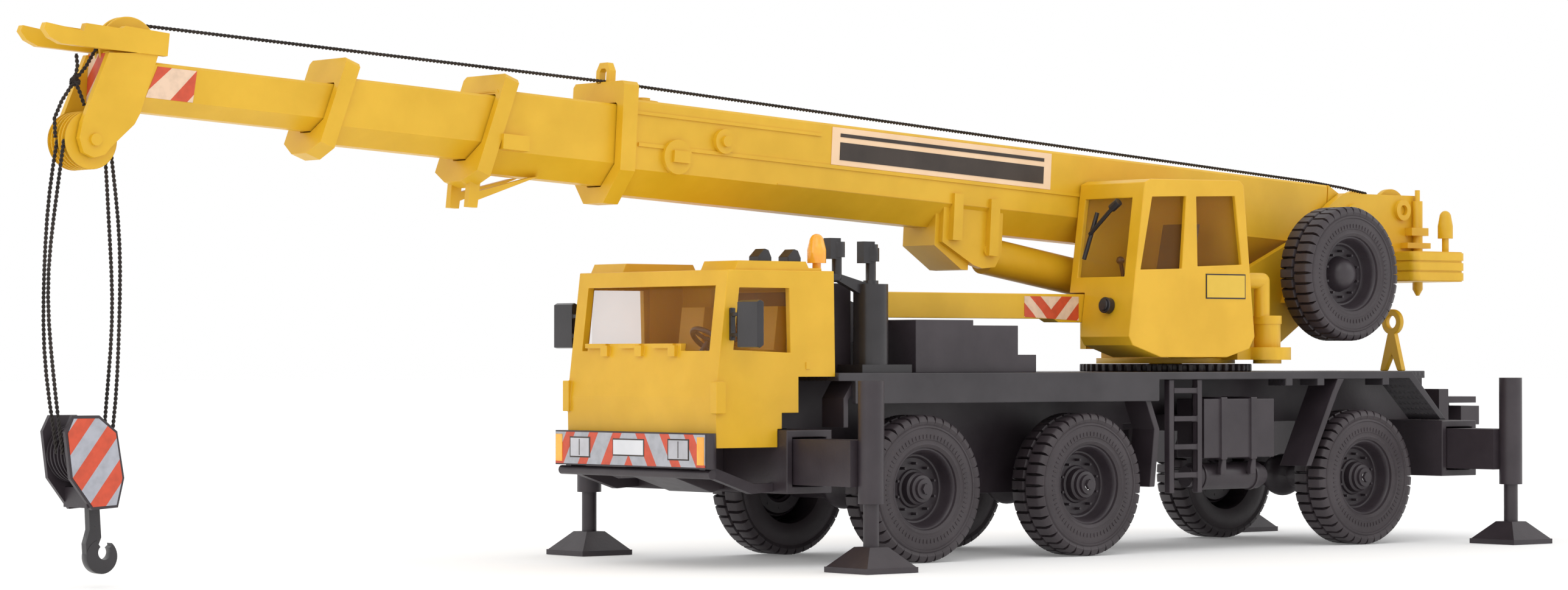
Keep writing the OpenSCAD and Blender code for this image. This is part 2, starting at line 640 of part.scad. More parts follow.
module slew_frame() {
    near = [boom_y + plate_in, boom_y + plate_in + plate_t];
    far = [boom_y - plate_in - plate_t, boom_y - plate_in];
    color(YELLOW) place() difference() {
        union() {
            rod_z(slew_x, 0, 2, [rail_top - 2, plat_z[0] + bite]);
            rod_z(slew_x, 0, ring_r - 2.0, [ring_z + play, plat_z[0] + bite]);
            slab([-38, -21], [far[0], arm_y[1] - 0.05], plat_z);
            slab([-34, crane_cab_rear - 0.1], [3, motor[1]], plat_z);
            rod_z(motor[0], motor[1], 2.85, plat_z);
            rod_z(motor[0], motor[1], 1.7, [ring_z + play, plat_z[0] + bite]);
            tower_plate(near);
            tower_plate(far);
            slab([-66.9, -57.1], [far[0], near[1]], [ballast_z + ballast_h + 0.05, 37.1]);
            slab([-42, -39.5], [far[0] + bite, near[1] - bite], [plat_z[1] - bite, 29]);
            for (y = [boom_y - ballast_pin[1], boom_y + ballast_pin[1]]) {
                rod_z(ballast_pin[0], y, ballast_pin_r, [31.4, 42.6]);
                translate([ballast_pin[0], y, 30.6]) cylinder(h = 0.8, r1 = 0.2, r2 = ballast_pin_r);
                rod_z(ballast_pin[0], y, 0.32, [42.4, 44.0]);
            }
            for (y = [[near[0], near[1] + 1.2], [far[0] - 1.2, far[1]]]) {
                slab([-67.5, -64.4], y, [38.2, 39.2]);
                slab([-67.9, -63.6], y, [36.6, 37.3]);
            }
            for (y = [[near[0], near[1] + 0.4], [far[0] - 0.4, far[1]]]) rod_y(cyl_foot[0], cyl_foot[1], 1.5, y);
            rod_y(winch[0], winch[1], 1.3, [near[1] - bite, near[1] + 0.5]);
            rod_y(pivot[0], pivot[1], 2.0, [near[1] - bite, near[1] + 0.4]);
            rod_y(pivot[0], pivot[1], 2.0, [far[0] - 0.4, far[0] + bite]);
            rod_y(spare[0], spare[1], 1.6, [near[1] - bite, spare_y[0] + 0.45]);
            profile([[spare[0] - 2.6, 29.5], [spare[0] + 3.4, 29.5], [spare[0] + 1.6, 34.5], [spare[0] - 1.6, 34.5]],
                    [near[1] - bite, near[1] + 1.2]);
        }
        rod_y(pivot[0], pivot[1], pivot_r + play, [far[0] - 2, near[1] + 2]);
        rod_y(winch[0], winch[1], 0.6 + play, [far[0] - 2, near[1] + 2]);
    }
}

// Arm that reaches forward under the boom, beside the crane cab
module front_arm() {
    color(YELLOW) place() difference() {
        profile([[-20, arm_z[0]], [-3, arm_z[0]], [-2.2, arm_z[0] + 0.4], [23.4, arm_z[0] + 0.4], [24.2, 27.9],
                 [24.2, 29.4], [23.4, arm_z[1]], [-20, arm_z[1]]], arm_y);
        slab([-21, -17.5], [boom_y + plate_in - 1, boom_y + plate_in + plate_t], [arm_z[0] - 1, arm_z[1] + 1]);
    }
}

// Outline of the crane cab, drawn in by d
function crane_cab_outline(d) = [
    [-11.6 - d, crane_cab_z + d], [-7.0 - d, crane_cab_z + 1.4 + d], [-6.4 - d, crane_cab_z + 2.4],
    [-9.0 - d, crane_cab_top - 0.4 - d], [-10.0 - d, crane_cab_top - d], [-24.6 + d, crane_cab_top + 0.2 - d],
    [-25.3 + d, crane_cab_top - 0.4 - d], [crane_cab_rear + d, crane_cab_z + 2.4], [-26.2 + d, crane_cab_z + 1.0 + d],
    [-22.5 + d, crane_cab_z + d]
];
crane_door_window = [[-8.3, 33.0], [-10.2, 41.5], [-15.7, 41.7], [-15.0, 33.2]];
crane_rear_window = [[-17.6, 33.5], [-17.4, 41.7], [-23.8, 41.9], [-24.9, 33.8]];

module crane_cab_shell() {
    y = crane_cab_y;
    wall = 0.55;
    color(YELLOW) place() difference() {
        profile(crane_cab_outline(0), y);
        profile(crane_cab_outline(wall), [y[0] + wall, y[1] - wall]);
        slab([-12, 0], [y[0] + 1.1, y[1] - 1.9], [32.2, 41.4]);
        profile(crane_door_window, [y[1] - 2, y[1] + 1]);
        profile(crane_rear_window, [y[1] - 2, y[1] + 1]);
        slab([-29, -5], [y[0] - 1, arm_y[1] + 0.1], [crane_cab_z - 1, arm_z[1] + 0.2]);
        rod_z(slew_x, 0, ring_r - 1.9, [crane_cab_z - 1, plat_z[0] + 0.25]);
    }
}

module crane_cab_glazing() {
    y = crane_cab_y;
    in_y = y[1] - 0.55;
    color(GLASS) place() {
        profile([[-8.05 - pane_t, 32.2], [-8.05, 32.2], [-9.6, 42.0], [-9.6 - pane_t, 42.0]],
                [y[0] + 0.8, y[1] - 1.6]);
        profile([[-8.8, 32.9], [-10.4, 42.0], [-24.1, 42.2], [-25.2, 33.1]], [in_y - pane_t, in_y]);
    }
}

// Operator's seat, console, control lever, steering column and the wiper and lamp outside
module crane_cab_interior() {
    y = crane_cab_y;
    mid = (y[0] + y[1]) / 2;
    color(BLACK) place() {
        slab([-20, -14.5], [mid - 2.4, mid + 2.4], [crane_cab_z + 0.6, 30.4]);
        profile([[-19.2, 30], [-17.6, 30], [-19.4, 38.6], [-21.2, 38.6]], [mid - 2.2, mid + 2.2]);
        slab([-12.8, -10.6], [mid - 2.2, mid + 2.2], [crane_cab_z + 2.2, 31.2]);
        translate([-12, mid - 1, 31]) rotate([0, 14, 0]) cylinder(h = 3.4, r = 0.25);
        translate([-11.2, mid - 1, 34.2]) sphere(r = 0.5);
        slab([-21, -12], [mid - 1.6, mid + 2.4], [crane_cab_z + 0.6, crane_cab_z + 1.2]);
        slab([-12.8, -12], [mid - 0.5, mid + 0.5], [crane_cab_z + 1, crane_cab_z + 2.4]);
    }
}

module slew_motor() {
    x = motor[0];
    y = motor[1];
    color(YELLOW) place() {
        rod_z(x, y, 1.6, [plat_z[1], 26.9]);
        rod_z(x, y, 1.75, [26.8, 27.8]);
        rod_z(x + 0.9, y, 0.95, [27.6, 32.0]);
        translate([x + 0.9, y, 32.0]) sphere(r = 0.95);
        rod_x(y, 32.0, 0.95, [x + 0.9, -27.0]);
    }
}

module spare_rim() {
    color(DARK) place() translate([spare[0], spare_y[0] + 0.45, spare[1]]) rotate([-90, 0, 0]) {
        difference() {
            cylinder(h = tyre_w - 0.9, r = rim_r, $fn = 96);
            translate([0, 0, tyre_w - 0.9 - 0.5]) cylinder(h = 1, r = 4.3);
            translate([0, 0, tyre_w - 0.9 - 2.0]) cylinder(h = 2.2, r1 = 3.3, r2 = 3.9);
        }
        translate([0, 0, tyre_w - 2.8]) sphere(r = 2.1);
        for (i = [0:9]) rotate(i * 36) translate([2.75, 0, 1.6]) cylinder(h = 0.8, r = 0.22, $fn = 16);
    }
}

module spare_tyre() {
    color(TYRE) place() translate([spare[0], spare_y[0], spare[1]]) rotate([-90, 0, 0]) tyre();
}

// One counterweight plate with rounded corners, its edge stepped in along both faces
module ballast_plate(z, t) {
    corner = 1.0;
    groove = 0.14;
    for (i = [[0, groove], [groove, t - groove], [t - groove, t]]) {
        in = i[1] - i[0] > 2 * groove ? 0 : groove;
        x = [ballast_x[0] + in, ballast_x[1] - in];
        y = ballast_w / 2 - in;
        zz = [z + i[0], z + i[1]];
        slab([x[0] + corner, x[1] - corner], [-y, y], zz);
        slab(x, [-y + corner, y - corner], zz);
        for (cx = [x[0] + corner, x[1] - corner], cy = [-y + corner, y - corner]) rod_z(cx, cy, corner, zz);
    }
}

module counterweight() {
    t = ballast_h / 3;
    color(YELLOW) place() difference() {
        for (i = [0:2]) ballast_plate(ballast_z + i * t, t - 0.01);
        for (y = [boom_y - ballast_pin[1], boom_y + ballast_pin[1]])
            rod_z(ballast_pin[0], y, ballast_pin_r + play, [ballast_z - 1, ballast_z + ballast_h + 1]);
    }
}

module rear_beacon() {
    color(YELLOW) place() translate([-66, 9.4, ballast_z + ballast_h]) beacon(0.95, 1.7, 3.5);
}

// Drum between two flanges, on a shaft held in the tower plates
module winch_drum() {
    w = 3;
    color(YELLOW) place() {
        rod_y(winch[0], winch[1], 0.6, [boom_y - plate_in - plate_t, boom_y + plate_in + plate_t]);
        rod_y(winch[0], winch[1], winch_core, [boom_y - w, boom_y + w]);
        for (s = [-1, 1]) rod_y(winch[0], winch[1], winch_r, [boom_y + s * w - 0.35, boom_y + s * w + 0.35]);
    }
}

// ---- Boom ----

// Cross section of a boom section, with its lower edges cut back to a narrow sole
function boom_section(w, top, low, sole) = [
    [-w, low * 0.56], [-sole, low], [sole, low], [w, low * 0.56], [w, top - 0.25], [w - 0.25, top],
    [-w + 0.25, top], [-w, top - 0.25]
];

module boom_bore(s, w, top, low) {
    section(boom_section(w - boom_wall, top - boom_wall, low + boom_wall, (w - boom_wall) * 0.35), s);
}

module boom_tube(s, w, top, low) {
    difference() {
        section(boom_section(w, top, low, w * 0.35), s);
        boom_bore([s[0] - 1, s[1] + 1], w, top, low);
    }
}

// Slanted collar: its foot stands ahead of its head by the slant angle
module slant_collar(s, w, top, low, in_w, in_top, in_low) {
    difference() {
        translate([s, 0, top]) rotate([0, -slant, 0])
            section([[-w, low - 1 - top], [-w * 0.4, low - 2.2 - top], [w * 0.4, low - 2.2 - top], [w, low - 1 - top],
                     [w, -0.4], [w - 0.4, 0], [-w + 0.4, 0], [-w, -0.4]], [0, collar_t]);
        section(boom_section(in_w, in_top, in_low, in_w * 0.35), [s - 5, s + 12]);
    }
}

module boom_base() {
    color(YELLOW) place() on_boom() difference() {
        union() {
            boom_tube([3.8, c1_s], base_half, base_top, base_low);
            profile([[3.6, -5.4], [3.6, base_top], [-1.0, 2.0], [-2.1, 0], [-1.4, -1.7], [0, -2.2]],
                    [-base_half, -base_half + 1.1]);
            profile([[3.6, -5.4], [3.6, base_top], [-1.0, 2.0], [-2.1, 0], [-1.4, -1.7], [0, -2.2]],
                    [base_half - 1.1, base_half]);
            slab([3.5, 4.1], [-base_half + bite, base_half - bite], [-3.2, base_top - bite]);
            rod_y(0, 0, pivot_r, [-base_half - 0.2 - plate_t, -base_half + 1]);
            rod_y(0, 0, pivot_r, [base_half - 1, base_half + 0.2 + plate_t]);
            difference() {
                section([[-4.65, -3.8], [-1.8, -7.3], [1.8, -7.3], [4.65, -3.8], [4.65, 5.5], [4.25, 5.9],
                         [-4.25, 5.9], [-4.65, 5.5]], [c1_s - bite, c1_s + collar_t]);
                section(boom_section(sec2_half + gap, sec2_top + gap, sec2_low - gap, sec2_half * 0.35),
                        [c1_s - 1, c1_s + collar_t + 1]);
            }
            both_sides() {
                slab([86, c1_s], [base_half - bite, base_half + 0.18], [2.5, 2.85]);
                slab([30, c1_s - 1], [base_half - bite, base_half + 0.18], [-0.95, -0.55]);
                slab([7, 92], [base_half - bite, base_half + 0.1], [-3.42, -3.3]);
                rod_y(106.4, -1.7, 1.9, [base_half - bite, base_half + 0.55]);
                slab([105.0, 107.2], [base_half, base_half + 0.9], [-2.3, -1.0]);
                rod_y(100, 0.6, 1.35, [base_half - bite, base_half + 0.6]);
                rod_y(100, 0.6, 0.6, [base_half, base_half + 1.0]);
            }
            rod_z(108.2, 0, 1.6, [base_top - bite, base_top + 0.35]);
            rod_z(108.2, 0, 0.7, [base_top, base_top + 0.7]);
            difference() {
                section([[-1.25, 5.7], [-1.25, 7.2], [-0.7, 8.1], [0.7, 8.1], [1.25, 7.2], [1.25, 5.7]],
                        [c1_s + 0.5, c1_s + 1.3]);
                section([[-0.6, 5.8], [-0.6, 7.1], [-0.35, 7.45], [0.35, 7.45], [0.6, 7.1], [0.6, 5.8]],
                        [c1_s, c1_s + 2]);
            }
            luff_bracket();
        }
        boom_bore([4.2, c1_s], base_half, base_top, base_low);
        section([[-0.35, 5.75], [0.35, 5.75], [0.35, 6.6], [-0.35, 6.6]], [c1_s - 1, c1_s + collar_t + 1]);
    }
}

// Two cheeks below the boom that take the lifting cylinder's rod, closed in front by a sloping plate
module luff_bracket() {
    cheek = [[luff_pin[0] - 2.3, base_low + 2.4], [luff_pin[0] + 6.9, base_low + 2.4],
             [luff_pin[0] + 6.9, -7.9], [luff_pin[0] + 2.0, -10.2], [luff_pin[0] + 0.6, -10.5],
             [luff_pin[0] - 1.4, -10.2], [luff_pin[0] - 2.3, -8.6]];
    rod_y(luff_pin[0], luff_pin[1], luff_pin_r, [-3.8, 3.8]);
    both_sides() {
        profile(cheek, [2.6, 3.5]);
        slab([luff_pin[0] - 1.1, luff_pin[0] + 0.3], [3.3, base_half + 0.45], [-9.0, -2.4]);
        slab([luff_pin[0] + 4.6, luff_pin[0] + 6.0], [3.3, base_half + 0.45], [-7.6, -2.2]);
    }
    profile([[luff_pin[0] + 3.4, base_low + 2.4], [luff_pin[0] + 7.5, base_low + 2.4],
             [luff_pin[0] + 7.5, -8.3], [luff_pin[0] + 3.2, -10.8], [luff_pin[0] + 2.2, -10.8],
             [luff_pin[0] + 2.2, -9.6]], [-2.8, 2.8]);
}

module boom_section_2() {
    rear = 14;
    color(YELLOW) place() on_boom() {
        boom_tube([rear, c2_s + 2.4], sec2_half, sec2_top, sec2_low);
        slant_collar(c2_s, 3.95, 4.6, sec2_low, sec3_half + gap, sec3_top + gap, sec3_low - gap);
        both_sides() slab([c2_s - 1.4, c2_s + 2.0], [sec2_half - bite, sec2_half + 0.9], [-2.9, -1.3]);
        both_sides() {
            profile([[c2_s + 3.0, sec2_low + 0.6], [c2_s + 4.4, sec2_low + 0.6], [c2_s + 4.6, -9.2], [c2_s + 3.4, -9.2]],
                    [1.3, 2.1]);
            profile([[c2_s + 3.9, -8.6], [c2_s + 3.9, -7.6], [c2_s - 3, sec2_low - 0.1], [c2_s - 4.4, sec2_low + 0.2]],
                    [1.3, 2.1]);
        }
    }
}

module boom_section_3() {
    rear = 30;
    color(YELLOW) place() on_boom() {
        boom_tube([rear, c3_s + 2.0], sec3_half, sec3_top, sec3_low);
        slant_collar(c3_s, 3.5, 4.25, sec3_low, sec4_half + gap, sec4_top + gap, sec4_low - gap);
    }
}

module boom_section_4() {
    rear = 48;
    cheek = [[head_s - 1.4, 2.9], [head_s + 4.2, 2.4], [head_s + 6.7, -4.7], [head_pin[0] + 1.75, head_pin[1]],
             [head_pin[0] + 1.2, -7.7], [head_pin[0], -8.1], [head_pin[0] - 1.2, -7.7], [head_s + 3.4, -6.9],
             [head_s + 0.9, -4.4], [head_s + 0.3, -3.2]];
    color(YELLOW) place() on_boom() difference() {
        union() {
            boom_tube([rear, head_s + 3.6], sec4_half, sec4_top, sec4_low);
            both_sides() {
                profile(cheek, [cheek_in, cheek_out]);
                profile([[head_s - 2.3, 2.7], [head_s + 9.6, 2.7], [head_s + 10.9, 3.2], [arm_tip[0], 4.0],
                         [arm_tip[0] - 0.2, 4.6], [head_s + 7.2, 4.2], [head_s + 7.0, 5.0], [head_s + 3.0, 4.9],
                         [head_s + 2.6, 5.2], [head_s - 2.4, 5.0]], [cheek_in, arm_out]);
            }
            slab([head_s + 3.4, head_s + 3.9], [-cheek_in - bite, cheek_in + bite], [-2.4, 2.6]);
            rod_y(head_pin[0], head_pin[1], head_pin_r, [-cheek_out - 0.3, cheek_out + 0.3]);
            rod_y(top_pin[0], top_pin[1], 0.5, [-arm_out, arm_out]);
        }
        slab([head_s - 2.8, head_s + 3.2], [-0.8, 0.8], [-0.6, 3]);
        slab([head_s + 3.1, head_s + 4.4], [-0.8, 0.8], [0.6, 3]);
    }
}

module head_sheave_upper() {
    color(YELLOW) place() on_boom() difference() {
        rod_y(top_pin[0], top_pin[1], sheave_top_r, [-0.6, 0.6]);
        grooved(top_pin, sheave_top_r, 1.0, 0);
        rod_y(top_pin[0], top_pin[1], 0.5 + play, [-1, 1]);
    }
}

// Groove around a sheave at y
module grooved(centre, r, depth, y) {
    difference() {
        rod_y(centre[0], centre[1], r + 1, [y - 0.28, y + 0.28]);
        rod_y(centre[0], centre[1], r - depth, [y - 0.4, y + 0.4]);
    }
}

module head_sheave_lower() {
    color(YELLOW) place() on_boom() difference() {
        rod_y(head_pin[0], head_pin[1], sheave_low_r, [-cheek_in + gap, cheek_in - gap]);
        for (y = groove_y) grooved(head_pin, sheave_low_r, 0.35, y);
        rod_y(head_pin[0], head_pin[1], head_pin_r + play, [-2, 2]);
    }
}

module cylinder_line() {
    eye = [boom_x(luff_pin[0], luff_pin[1]), boom_z(luff_pin[0], luff_pin[1])];
    rise = atan2(eye[1] - cyl_foot[1], eye[0] - cyl_foot[0]);
    translate([cyl_foot[0], boom_y, cyl_foot[1]]) rotate([0, -rise, 0]) children();
}

cyl_reach = norm([boom_x(luff_pin[0], luff_pin[1]) - cyl_foot[0], boom_z(luff_pin[0], luff_pin[1]) - cyl_foot[1]]);
barrel_end = cyl_reach - 2.6;

module luff_barrel() {
    color(YELLOW) place() cylinder_line() difference() {
        union() {
            rod_x(0, 0, 2.2, [1.6, barrel_end]);
            rod_y(0, 0, 1.6, [-1.8, 1.8]);
            slab([0, 2], [-1.8, 1.8], [-1.4, 1.4]);
        }
        rod_y(0, 0, cyl_pin_r, [-3, 3]);
        rod_x(0, 0, 1.2 + play, [3.2, barrel_end + 1]);
    }
}

module luff_rod() {
    color(YELLOW) place() cylinder_line() difference() {
        union() {
            rod_x(0, 0, 1.2, [4.4, cyl_reach - 0.8]);
            rod_y(cyl_reach, 0, 1.3, [-1.6, 1.6]);
        }
        rod_y(cyl_reach, 0, luff_pin_r + play, [-2, 2]);
    }
}

// ---- Rope and hook ----

// Tube swept along points in X and Z at side y, with a ring of eight corners at each point
module rope_tube(points, y) {
    n = len(points);
    dirs = [for (i = [0:n - 1]) let (a = points[max(i - 1, 0)], b = points[min(i + 1, n - 1)], d = b - a) d / norm(d)];
    ring = [for (i = [0:n - 1], k = [0:7]) let (u = rope_r * cos(k * 45), v = rope_r * sin(k * 45))
            [points[i][0] - dirs[i][1] * v, y + u, points[i][1] + dirs[i][0] * v]];
    sides = [for (i = [0:n - 2], k = [0:7]) let (a = i * 8 + k, b = i * 8 + (k + 1) % 8) [a, b, b + 8, a + 8]];
    polyhedron(ring, concat([[for (k = [7:-1:0]) k]], sides, [[for (k = [0:7]) (n - 1) * 8 + k]]));
}

rope_c1 = [c1_s + 0.9, 6.05];
wrap_r = sheave_top_r - 1.0 + rope_r + 0.12;
rope_top = [top_pin[0] - 0.2, top_pin[1] + wrap_r];
function rope_at(s) = rope_c1 + (rope_top - rope_c1) * ((s - rope_c1[0]) / (rope_top[0] - rope_c1[0]));

module rope_base() {
    color(ROPE) place() on_boom() rope_tube([[-7.4, 4.1], [-3, 4.45], [3, 4.72], rope_c1], 0);
}

module rope_run_2() {
    color(ROPE) place() on_boom() rope_tube([rope_c1, rope_at(c2_s + 1)], 0);
}

module rope_run_3() {
    color(ROPE) place() on_boom() rope_tube([rope_at(c2_s + 1), rope_at(c3_s + 1)], 0);
}

// Over the upper sheave and down to the front of the lower ones
module rope_run_4() {
    wrap = [for (a = [80:-20:20]) top_pin + wrap_r * [cos(a), sin(a)]];
    last = [fall_r * cos(boom_angle), 0.2 - fall_r * sin(boom_angle)];
    down = [[head_s + 5.0, 1.0], [head_s + 7.4, -2.6], head_pin + last];
    color(ROPE) place() on_boom() rope_tube(concat([rope_at(c3_s + 1), rope_top], wrap, down), 0);
}

// Four falls between the head sheaves and the hook block
module rope_falls() {
    color(ROPE) place() for (f = falls)
        rope_tube([[fall_x + f[0] * fall_r, block_sheave_z], [fall_x + f[0] * fall_r, fall_z]], boom_y + f[1]);
}

module block_frame() {
    x = block_x;
    z = block_z;
    plate = [[x + 3.2, z + 3.1], [x + 2.4, z + 4.7], [x - 0.6, z + 4.7], [x - 2.6, z + 3.1],
             [x - 3.4, z - 1.5], [x - 2.7, z - 4.4], [x + 0.2, z - 4.6], [x + 2.6, z - 1.5]];
    color(DARK) place() difference() {
        union() {
            profile(plate, [boom_y + block_half - 0.5, boom_y + block_half]);
            profile(plate, [boom_y - block_half, boom_y - block_half + 0.5]);
            slab([x - 2.4, x + 0.7], [boom_y - block_half + bite, boom_y + block_half - bite], [z - 4.4, z - 2.4]);
            rod_y(x, block_sheave_z, block_pin_r, [boom_y - block_half + bite, boom_y + block_half - bite]);
        }
        rod_z(x - hook_back, boom_y, shank_r + play, [z - 5, z - 2.8]);
    }
}

module block_sheave() {
    centre = [block_x, block_sheave_z];
    color(DARK) place() translate([0, boom_y, 0]) difference() {
        rod_y(centre[0], centre[1], sheave_low_r, [-1.75, 1.75]);
        for (y = groove_y) grooved(centre, sheave_low_r, 0.35, y);
        rod_y(centre[0], centre[1], block_pin_r + play, [-2, 2]);
    }
}

module crane_hook() {
    x = block_x - hook_back;
    bowl = [x - 0.86, 3.1];
    throat = [x - 1.15, 3.5];
    color(DARK) place() {
        rod_z(x, boom_y, shank_r, [6.0, block_z - 2.9]);
        profile([[x - 0.6, block_z - 4.5], [x + 0.6, block_z - 4.5], [x + 0.5, 5.8], [x + 0.92, 4.4], [x + 0.82, 3.2],
                 [x - 0.35, 3.9], [x - 0.8, 5.0]], [boom_y - 0.45, boom_y + 0.45]);
        translate([0, boom_y + 0.5, 0]) rotate([90, 0, 0]) linear_extrude(1.0) difference() {
            translate(bowl) circle(r = 1.72);
            translate(throat) circle(r = 0.72);
            polygon([[x - 1.15, 3.5], [x - 2.0, 4.2], [x - 1.7, 6], [x + 0.3, 6], [x - 0.5, 4.3]]);
        }
    }
}

chassis_frame();
deck();
mudguards();
front_bumper();
cab_shell();
cab_glazing();
cab_interior();
steering_wheel();
cab_mirrors();
cab_beacon();
roof_horns();
engine_cover();
air_filter();
side_boxes();
air_tanks();
ladders();
outrigger_boxes();
hook_stand();
ring_gear();
wheelset(axles[0]);  // wheelset_1
wheelset(axles[1]);  // wheelset_2
wheelset(axles[2]);  // wheelset_3
tyres(axles[0]);  // tyres_1
tyres(axles[1]);  // tyres_2
tyres(axles[2]);  // tyres_3
outrigger_beam(jack1_x, jack1_y);  // outrigger_beam_fl
mirror([0, 1, 0]) outrigger_beam(jack1_x, jack1_y);  // outrigger_beam_fr
outrigger_beam(jack2_x, jack2_y);  // outrigger_beam_rl
mirror([0, 1, 0]) outrigger_beam(jack2_x, jack2_y);  // outrigger_beam_rr
jack_leg(jack1_x, jack1_y);  // jack_leg_fl
jack_leg(jack1_x, -jack1_y);  // jack_leg_fr
jack_leg(jack2_x, jack2_y);  // jack_leg_rl
jack_leg(jack2_x, -jack2_y);  // jack_leg_rr
slew_frame();
front_arm();
crane_cab_shell();
crane_cab_glazing();
crane_cab_interior();
slew_motor();
spare_tyre();
spare_rim();
counterweight();
rear_beacon();
winch_drum();
boom_base();
boom_section_2();
boom_section_3();
boom_section_4();
luff_barrel();
luff_rod();
head_sheave_upper();
head_sheave_lower();
rope_base();
rope_run_2();
rope_run_3();
rope_run_4();
rope_falls();
block_frame();
block_sheave();
crane_hook();
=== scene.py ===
import math

import bmesh
import bpy
from mathutils import Matrix, Vector


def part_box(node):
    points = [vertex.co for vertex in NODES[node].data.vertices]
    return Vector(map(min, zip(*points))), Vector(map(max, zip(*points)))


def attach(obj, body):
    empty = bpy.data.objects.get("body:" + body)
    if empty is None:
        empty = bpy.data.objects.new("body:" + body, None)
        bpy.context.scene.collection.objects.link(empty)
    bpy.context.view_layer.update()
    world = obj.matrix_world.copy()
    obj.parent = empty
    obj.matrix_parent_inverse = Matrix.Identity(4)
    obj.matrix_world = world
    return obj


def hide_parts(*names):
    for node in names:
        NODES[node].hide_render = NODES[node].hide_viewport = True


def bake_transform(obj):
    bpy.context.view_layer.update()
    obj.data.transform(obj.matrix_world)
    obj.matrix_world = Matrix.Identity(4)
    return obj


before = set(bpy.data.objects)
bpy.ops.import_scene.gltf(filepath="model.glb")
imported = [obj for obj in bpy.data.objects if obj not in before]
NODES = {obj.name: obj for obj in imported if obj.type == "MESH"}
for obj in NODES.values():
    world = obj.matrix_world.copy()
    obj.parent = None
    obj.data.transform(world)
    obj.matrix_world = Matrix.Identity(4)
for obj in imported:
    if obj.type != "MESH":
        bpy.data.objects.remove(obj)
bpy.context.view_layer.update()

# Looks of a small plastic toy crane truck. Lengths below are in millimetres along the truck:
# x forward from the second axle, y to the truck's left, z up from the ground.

MM = 0.001


def middle(node):
    lo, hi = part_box(node)
    return (Vector(lo) + Vector(hi)) / 2


ORIGIN_X = middle("wheelset_2").x
BOOM_Y = -1.0
BOOM_ANGLE = math.radians(3.4)
PIVOT = (-55.0, 40.0)
# Along the boom from its pivot: the ends of sections 2 and 3, and the head
C2_S = 127.6
C3_S = 147.3
HEAD_S = 172.0
WHEEL_R = 8.2
TYRE_W = 5.0
TRACK_HALF = 14.4
AXLES = {name: (middle("wheelset_%d" % name).x - ORIGIN_X) / MM for name in (1, 2, 3)}


def at(x, y, z):
    return Vector((ORIGIN_X + x * MM, y * MM, z * MM))


def boom(s, y, h):
    """A point in the boom's own frame: s along it from the pivot, h across it."""
    x = PIVOT[0] + s * math.cos(BOOM_ANGLE) - h * math.sin(BOOM_ANGLE)
    z = PIVOT[1] + s * math.sin(BOOM_ANGLE) + h * math.cos(BOOM_ANGLE)
    return at(x, BOOM_Y + y, z)


# ---- Materials ----

def new_material(name):
    mat = bpy.data.materials.new(name)
    mat.use_nodes = True
    tree = mat.node_tree
    shader = tree.nodes["Principled BSDF"]
    return mat, tree, shader


def node(tree, kind, **inputs):
    made = tree.nodes.new(kind)
    for key, value in inputs.items():
        made.inputs[key.replace("_", " ")].default_value = value
    return made


def object_noise(tree, scale, detail=3.0, roughness=0.55):
    coords = tree.nodes.new("ShaderNodeTexCoord")
    noise = node(tree, "ShaderNodeTexNoise", Scale=scale, Detail=detail, Roughness=roughness)
    tree.links.new(coords.outputs["Object"], noise.inputs["Vector"])
    return noise.outputs["Fac"]


def ramp(tree, value, stops, mode="LINEAR"):
    made = tree.nodes.new("ShaderNodeValToRGB")
    made.color_ramp.interpolation = mode
    for i, (pos, colour) in enumerate(stops):
        stop = made.color_ramp.elements[i] if i < 2 else made.color_ramp.elements.new(pos)
        stop.position = pos
        stop.color = (*colour, 1)
    tree.links.new(value, made.inputs["Fac"])
    return made.outputs["Color"]


def span(tree, value, low, high):
    made = node(tree, "ShaderNodeMapRange")
    made.inputs["To Min"].default_value = low
    made.inputs["To Max"].default_value = high
    tree.links.new(value, made.inputs["Value"])
    return made.outputs["Result"]


def bump(tree, shader, height, strength, distance):
    made = node(tree, "ShaderNodeBump", Strength=strength, Distance=distance)
    tree.links.new(height, made.inputs["Height"])
    tree.links.new(made.outputs["Normal"], shader.inputs["Normal"])


def moulded(name, low, high, rough, grain=0.25, sub=0.0):
    """Moulded plastic: faint mottling, slightly uneven gloss and a fine skin texture."""
    mat, tree, shader = new_material(name)
    mottling = ramp(tree, object_noise(tree, 160, 4), [(0.35, low), (0.65, high)])
    tree.links.new(mottling, shader.inputs["Base Color"])
    tree.links.new(span(tree, object_noise(tree, 420), rough[0], rough[1]), shader.inputs["Roughness"])
    bump(tree, shader, object_noise(tree, 2600, 2), grain, 0.00004)
    shader.inputs["Subsurface Weight"].default_value = sub
    shader.inputs["Subsurface Radius"].default_value = (0.0016, 0.0009, 0.0003)
    return mat


def treadplate(name, low, high):
    """Black plastic with rows of small round studs."""
    mat, tree, shader = new_material(name)
    mottling = ramp(tree, object_noise(tree, 160, 4), [(0.35, low), (0.65, high)])
    tree.links.new(mottling, shader.inputs["Base Color"])
    shader.inputs["Roughness"].default_value = 0.42
    coords = tree.nodes.new("ShaderNodeTexCoord")
    cells = node(tree, "ShaderNodeTexVoronoi", Scale=1400)
    cells.inputs["Randomness"].default_value = 0.1
    tree.links.new(coords.outputs["Object"], cells.inputs["Vector"])
    studs = ramp(tree, cells.outputs["Distance"], [(0.2, (1, 1, 1)), (0.42, (0, 0, 0))])
    bump(tree, shader, studs, 0.5, 0.0001)
    return mat


